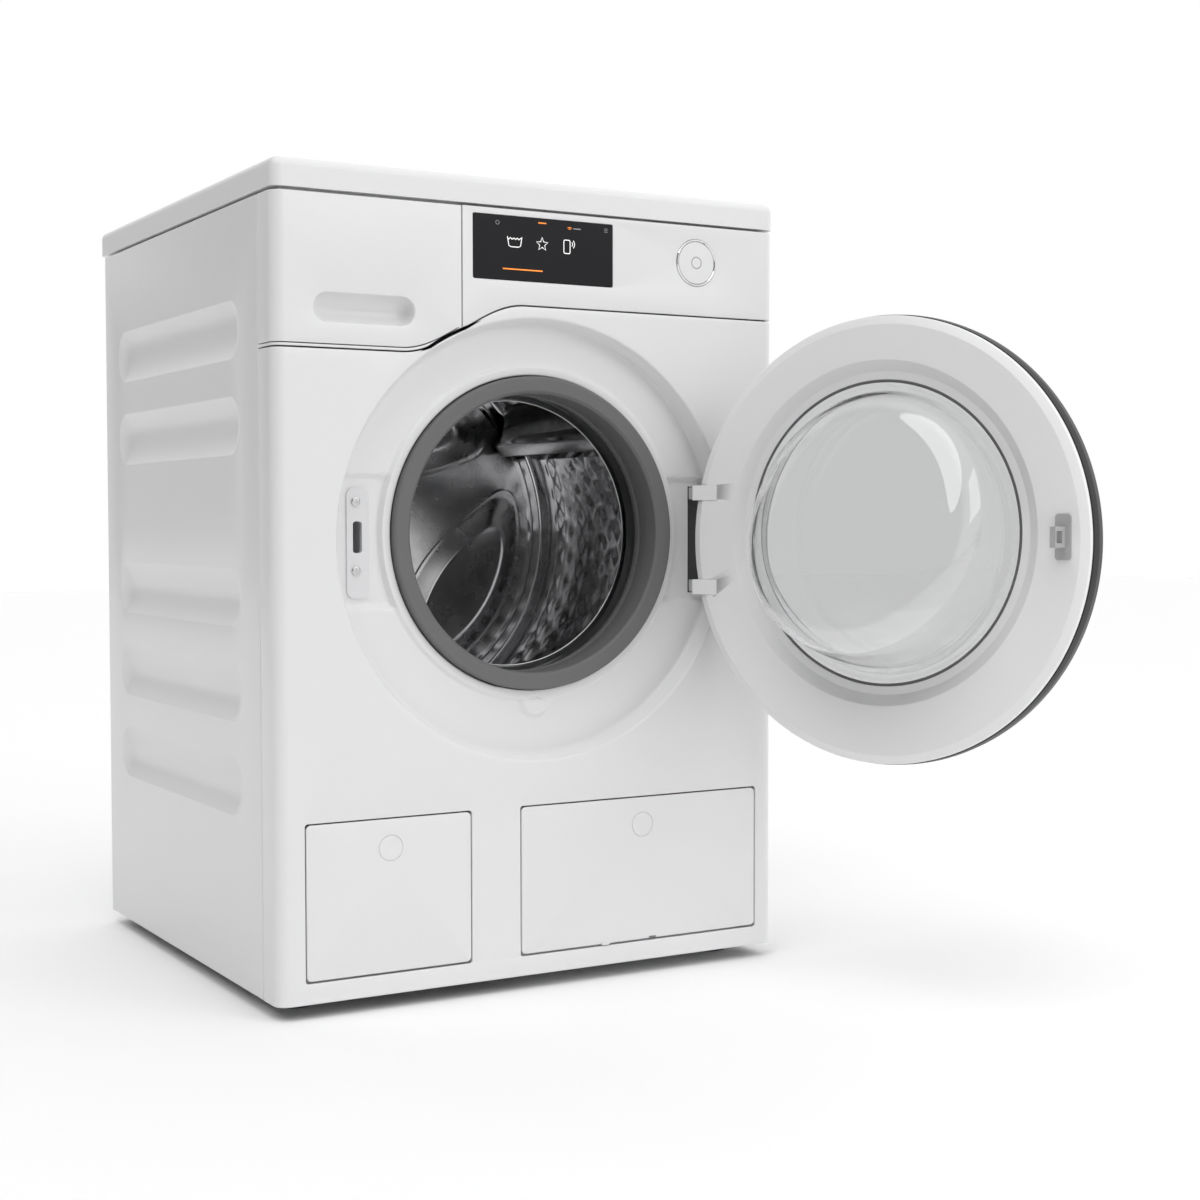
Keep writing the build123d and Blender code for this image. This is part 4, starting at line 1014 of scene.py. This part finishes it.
# ---------------------------------------------------------------- floor, light, camera
def stage():
    """Pale floor, a little darker well in front of the machine, so that less light comes up from there."""
    mesh = bpy.data.meshes.new("floor")
    half = 12.0
    corners = [(-half, -half, 0), (half, -half, 0), (half, half, 0), (-half, half, 0)]
    mesh.from_pydata(corners, [], [(0, 1, 2, 3)])
    floor = bpy.data.objects.new("floor", mesh)
    floor.location = MIDDLE
    bpy.context.scene.collection.objects.link(floor)
    m = Nodes("floor_white")
    near = m.add("ShaderNodeVectorMath", operation="DOT_PRODUCT")
    near.inputs[1].default_value = (0.505, 0.863, 0)     # the way that the camera looks, along the floor
    m.link(m.where, near.inputs[0])
    fade = m.add("ShaderNodeMapRange")
    fade.inputs["From Min"].default_value, fade.inputs["From Max"].default_value = -3.6, -0.9
    m.link(near.outputs["Value"], fade.inputs["Value"])
    m.link(m.ramp(fade.outputs["Result"], 0.6, 0.9, 0.0, 1.0), m.shader.inputs["Base Color"])
    m.set(Roughness=0.9, Specular_IOR_Level=0.1)
    mesh.materials.append(m.material)


def area_light(name, place, target, size, power):
    """Soft box, placed in metres from MIDDLE."""
    data = bpy.data.lights.new(name, "AREA")
    data.shape = "RECTANGLE"
    data.size, data.size_y = size
    data.energy = power
    lamp = bpy.data.objects.new(name, data)
    lamp.location = Vector(place) + MIDDLE
    lamp.rotation_mode = "QUATERNION"
    lamp.rotation_quaternion = (Vector(target) - Vector(place)).to_track_quat("-Z", "Y")
    bpy.context.scene.collection.objects.link(lamp)


def lights():
    """Bright surroundings that are darker on the left, a soft box in front, and soft light from above."""
    world = bpy.data.worlds.new("studio")
    world.use_nodes = True
    tree = world.node_tree
    background = tree.nodes["Background"]
    direction = tree.nodes.new("ShaderNodeTexCoord")
    split = tree.nodes.new("ShaderNodeSeparateXYZ")
    band = tree.nodes.new("ShaderNodeValToRGB")
    half = tree.nodes.new("ShaderNodeMath")
    half.operation = "MULTIPLY_ADD"
    half.inputs[1].default_value = half.inputs[2].default_value = 0.5
    band.color_ramp.elements[0].position = 0.3
    band.color_ramp.elements[0].color = (0.1, 0.1, 0.1, 1)
    band.color_ramp.elements[1].position = 0.46
    band.color_ramp.elements[1].color = (1, 1, 1, 1)
    tree.links.new(direction.outputs["Generated"], split.inputs["Vector"])
    tree.links.new(split.outputs["X"], half.inputs[0])
    tree.links.new(half.outputs["Value"], band.inputs["Fac"])
    backdrop = tree.nodes.new("ShaderNodeMixRGB")
    backdrop.inputs["Color2"].default_value = (1, 1, 1, 1)
    paths = tree.nodes.new("ShaderNodeLightPath")
    tree.links.new(paths.outputs["Is Camera Ray"], backdrop.inputs["Fac"])
    tree.links.new(band.outputs["Color"], backdrop.inputs["Color1"])
    tree.links.new(backdrop.outputs["Color"], background.inputs["Color"])
    background.inputs["Strength"].default_value = 1.0
    bpy.context.scene.world = world
    area_light("key", (1.4, -3.0, 2.2), (0, 0, 0.4), (2.0, 1.6), 17)
    sky = bpy.data.lights.new("top", "SUN")
    sky.energy = 1.5
    sky.angle = math.radians(50)
    lamp = bpy.data.objects.new("top", sky)
    lamp.rotation_mode = "QUATERNION"
    lamp.rotation_quaternion = Vector((0.5, 0.3, -1)).to_track_quat("-Z", "Y")
    bpy.context.scene.collection.objects.link(lamp)
    bpy.context.scene.view_settings.view_transform = "Standard"


def camera():
    """At the height of the door, to the left of the machine, turned 30 degrees."""
    yaw, pitch, roll = 0.53, -0.0402, -0.0016
    data = bpy.data.cameras.new("camera")
    data.sensor_width = 36.0
    data.lens = 57.33
    data.clip_start, data.clip_end = 0.05, 50
    cam = bpy.data.objects.new("camera", data)
    cam.location = Vector((-0.96567, -2.06231, 0.49286)) + MIDDLE
    ahead = Vector((math.sin(yaw) * math.cos(pitch), math.cos(yaw) * math.cos(pitch), math.sin(pitch)))
    level = ahead.to_track_quat("-Z", "Y")
    cam.rotation_mode = "QUATERNION"
    cam.rotation_quaternion = level @ Matrix.Rotation(roll, 3, "Z").to_quaternion()
    bpy.context.scene.collection.objects.link(cam)
    bpy.context.scene.camera = cam


def finish_cad_nodes():
    """Gives every CAD node the finished material of its slot."""
    slots = {s["node"]: s["material_slot"] for s in frame["record"]["subparts"]}
    shaded("latch_plastic", (0.3, 0.4), 1600.0, 0.08, 0.05, LATCH_GREY)
    for name, obj in frame["nodes"].items():
        obj.data.materials.clear()
        obj.data.materials.append(MATERIALS["latch_plastic" if name == "door_latch" else slots[name]])
        obj.data.shade_smooth()
        obj.data.set_sharp_from_angle(angle=math.radians(30))


make_materials()
finish_cad_nodes()
front_panel()
fascia()
drawer_face()
flap("left", -176.0, ())
flap("right", 123.0, (76.0, 136.0))
side_skin(-1)
side_skin(1)
hinge()
gasket()
drum_wall()
drum_back()
for lifter_name, lifter_angle in LIFTERS.items():
    lifter(lifter_name, lifter_angle)
door_inner()
door_rim()
door_pane()
door_bowl()
glass_seal()
symbols()
small_screw("lock_screw_upper", -203, 515, 20.1, 21.9, 4.6)
small_screw("lock_screw_lower", -203, 445, 20.1, 21.9, 4.6)
small_screw("clamp_screw_head", 0, SCREW_Z, 17.0, 20.4, 8.0, ["clamp_screw"])
stage()
lights()
camera()
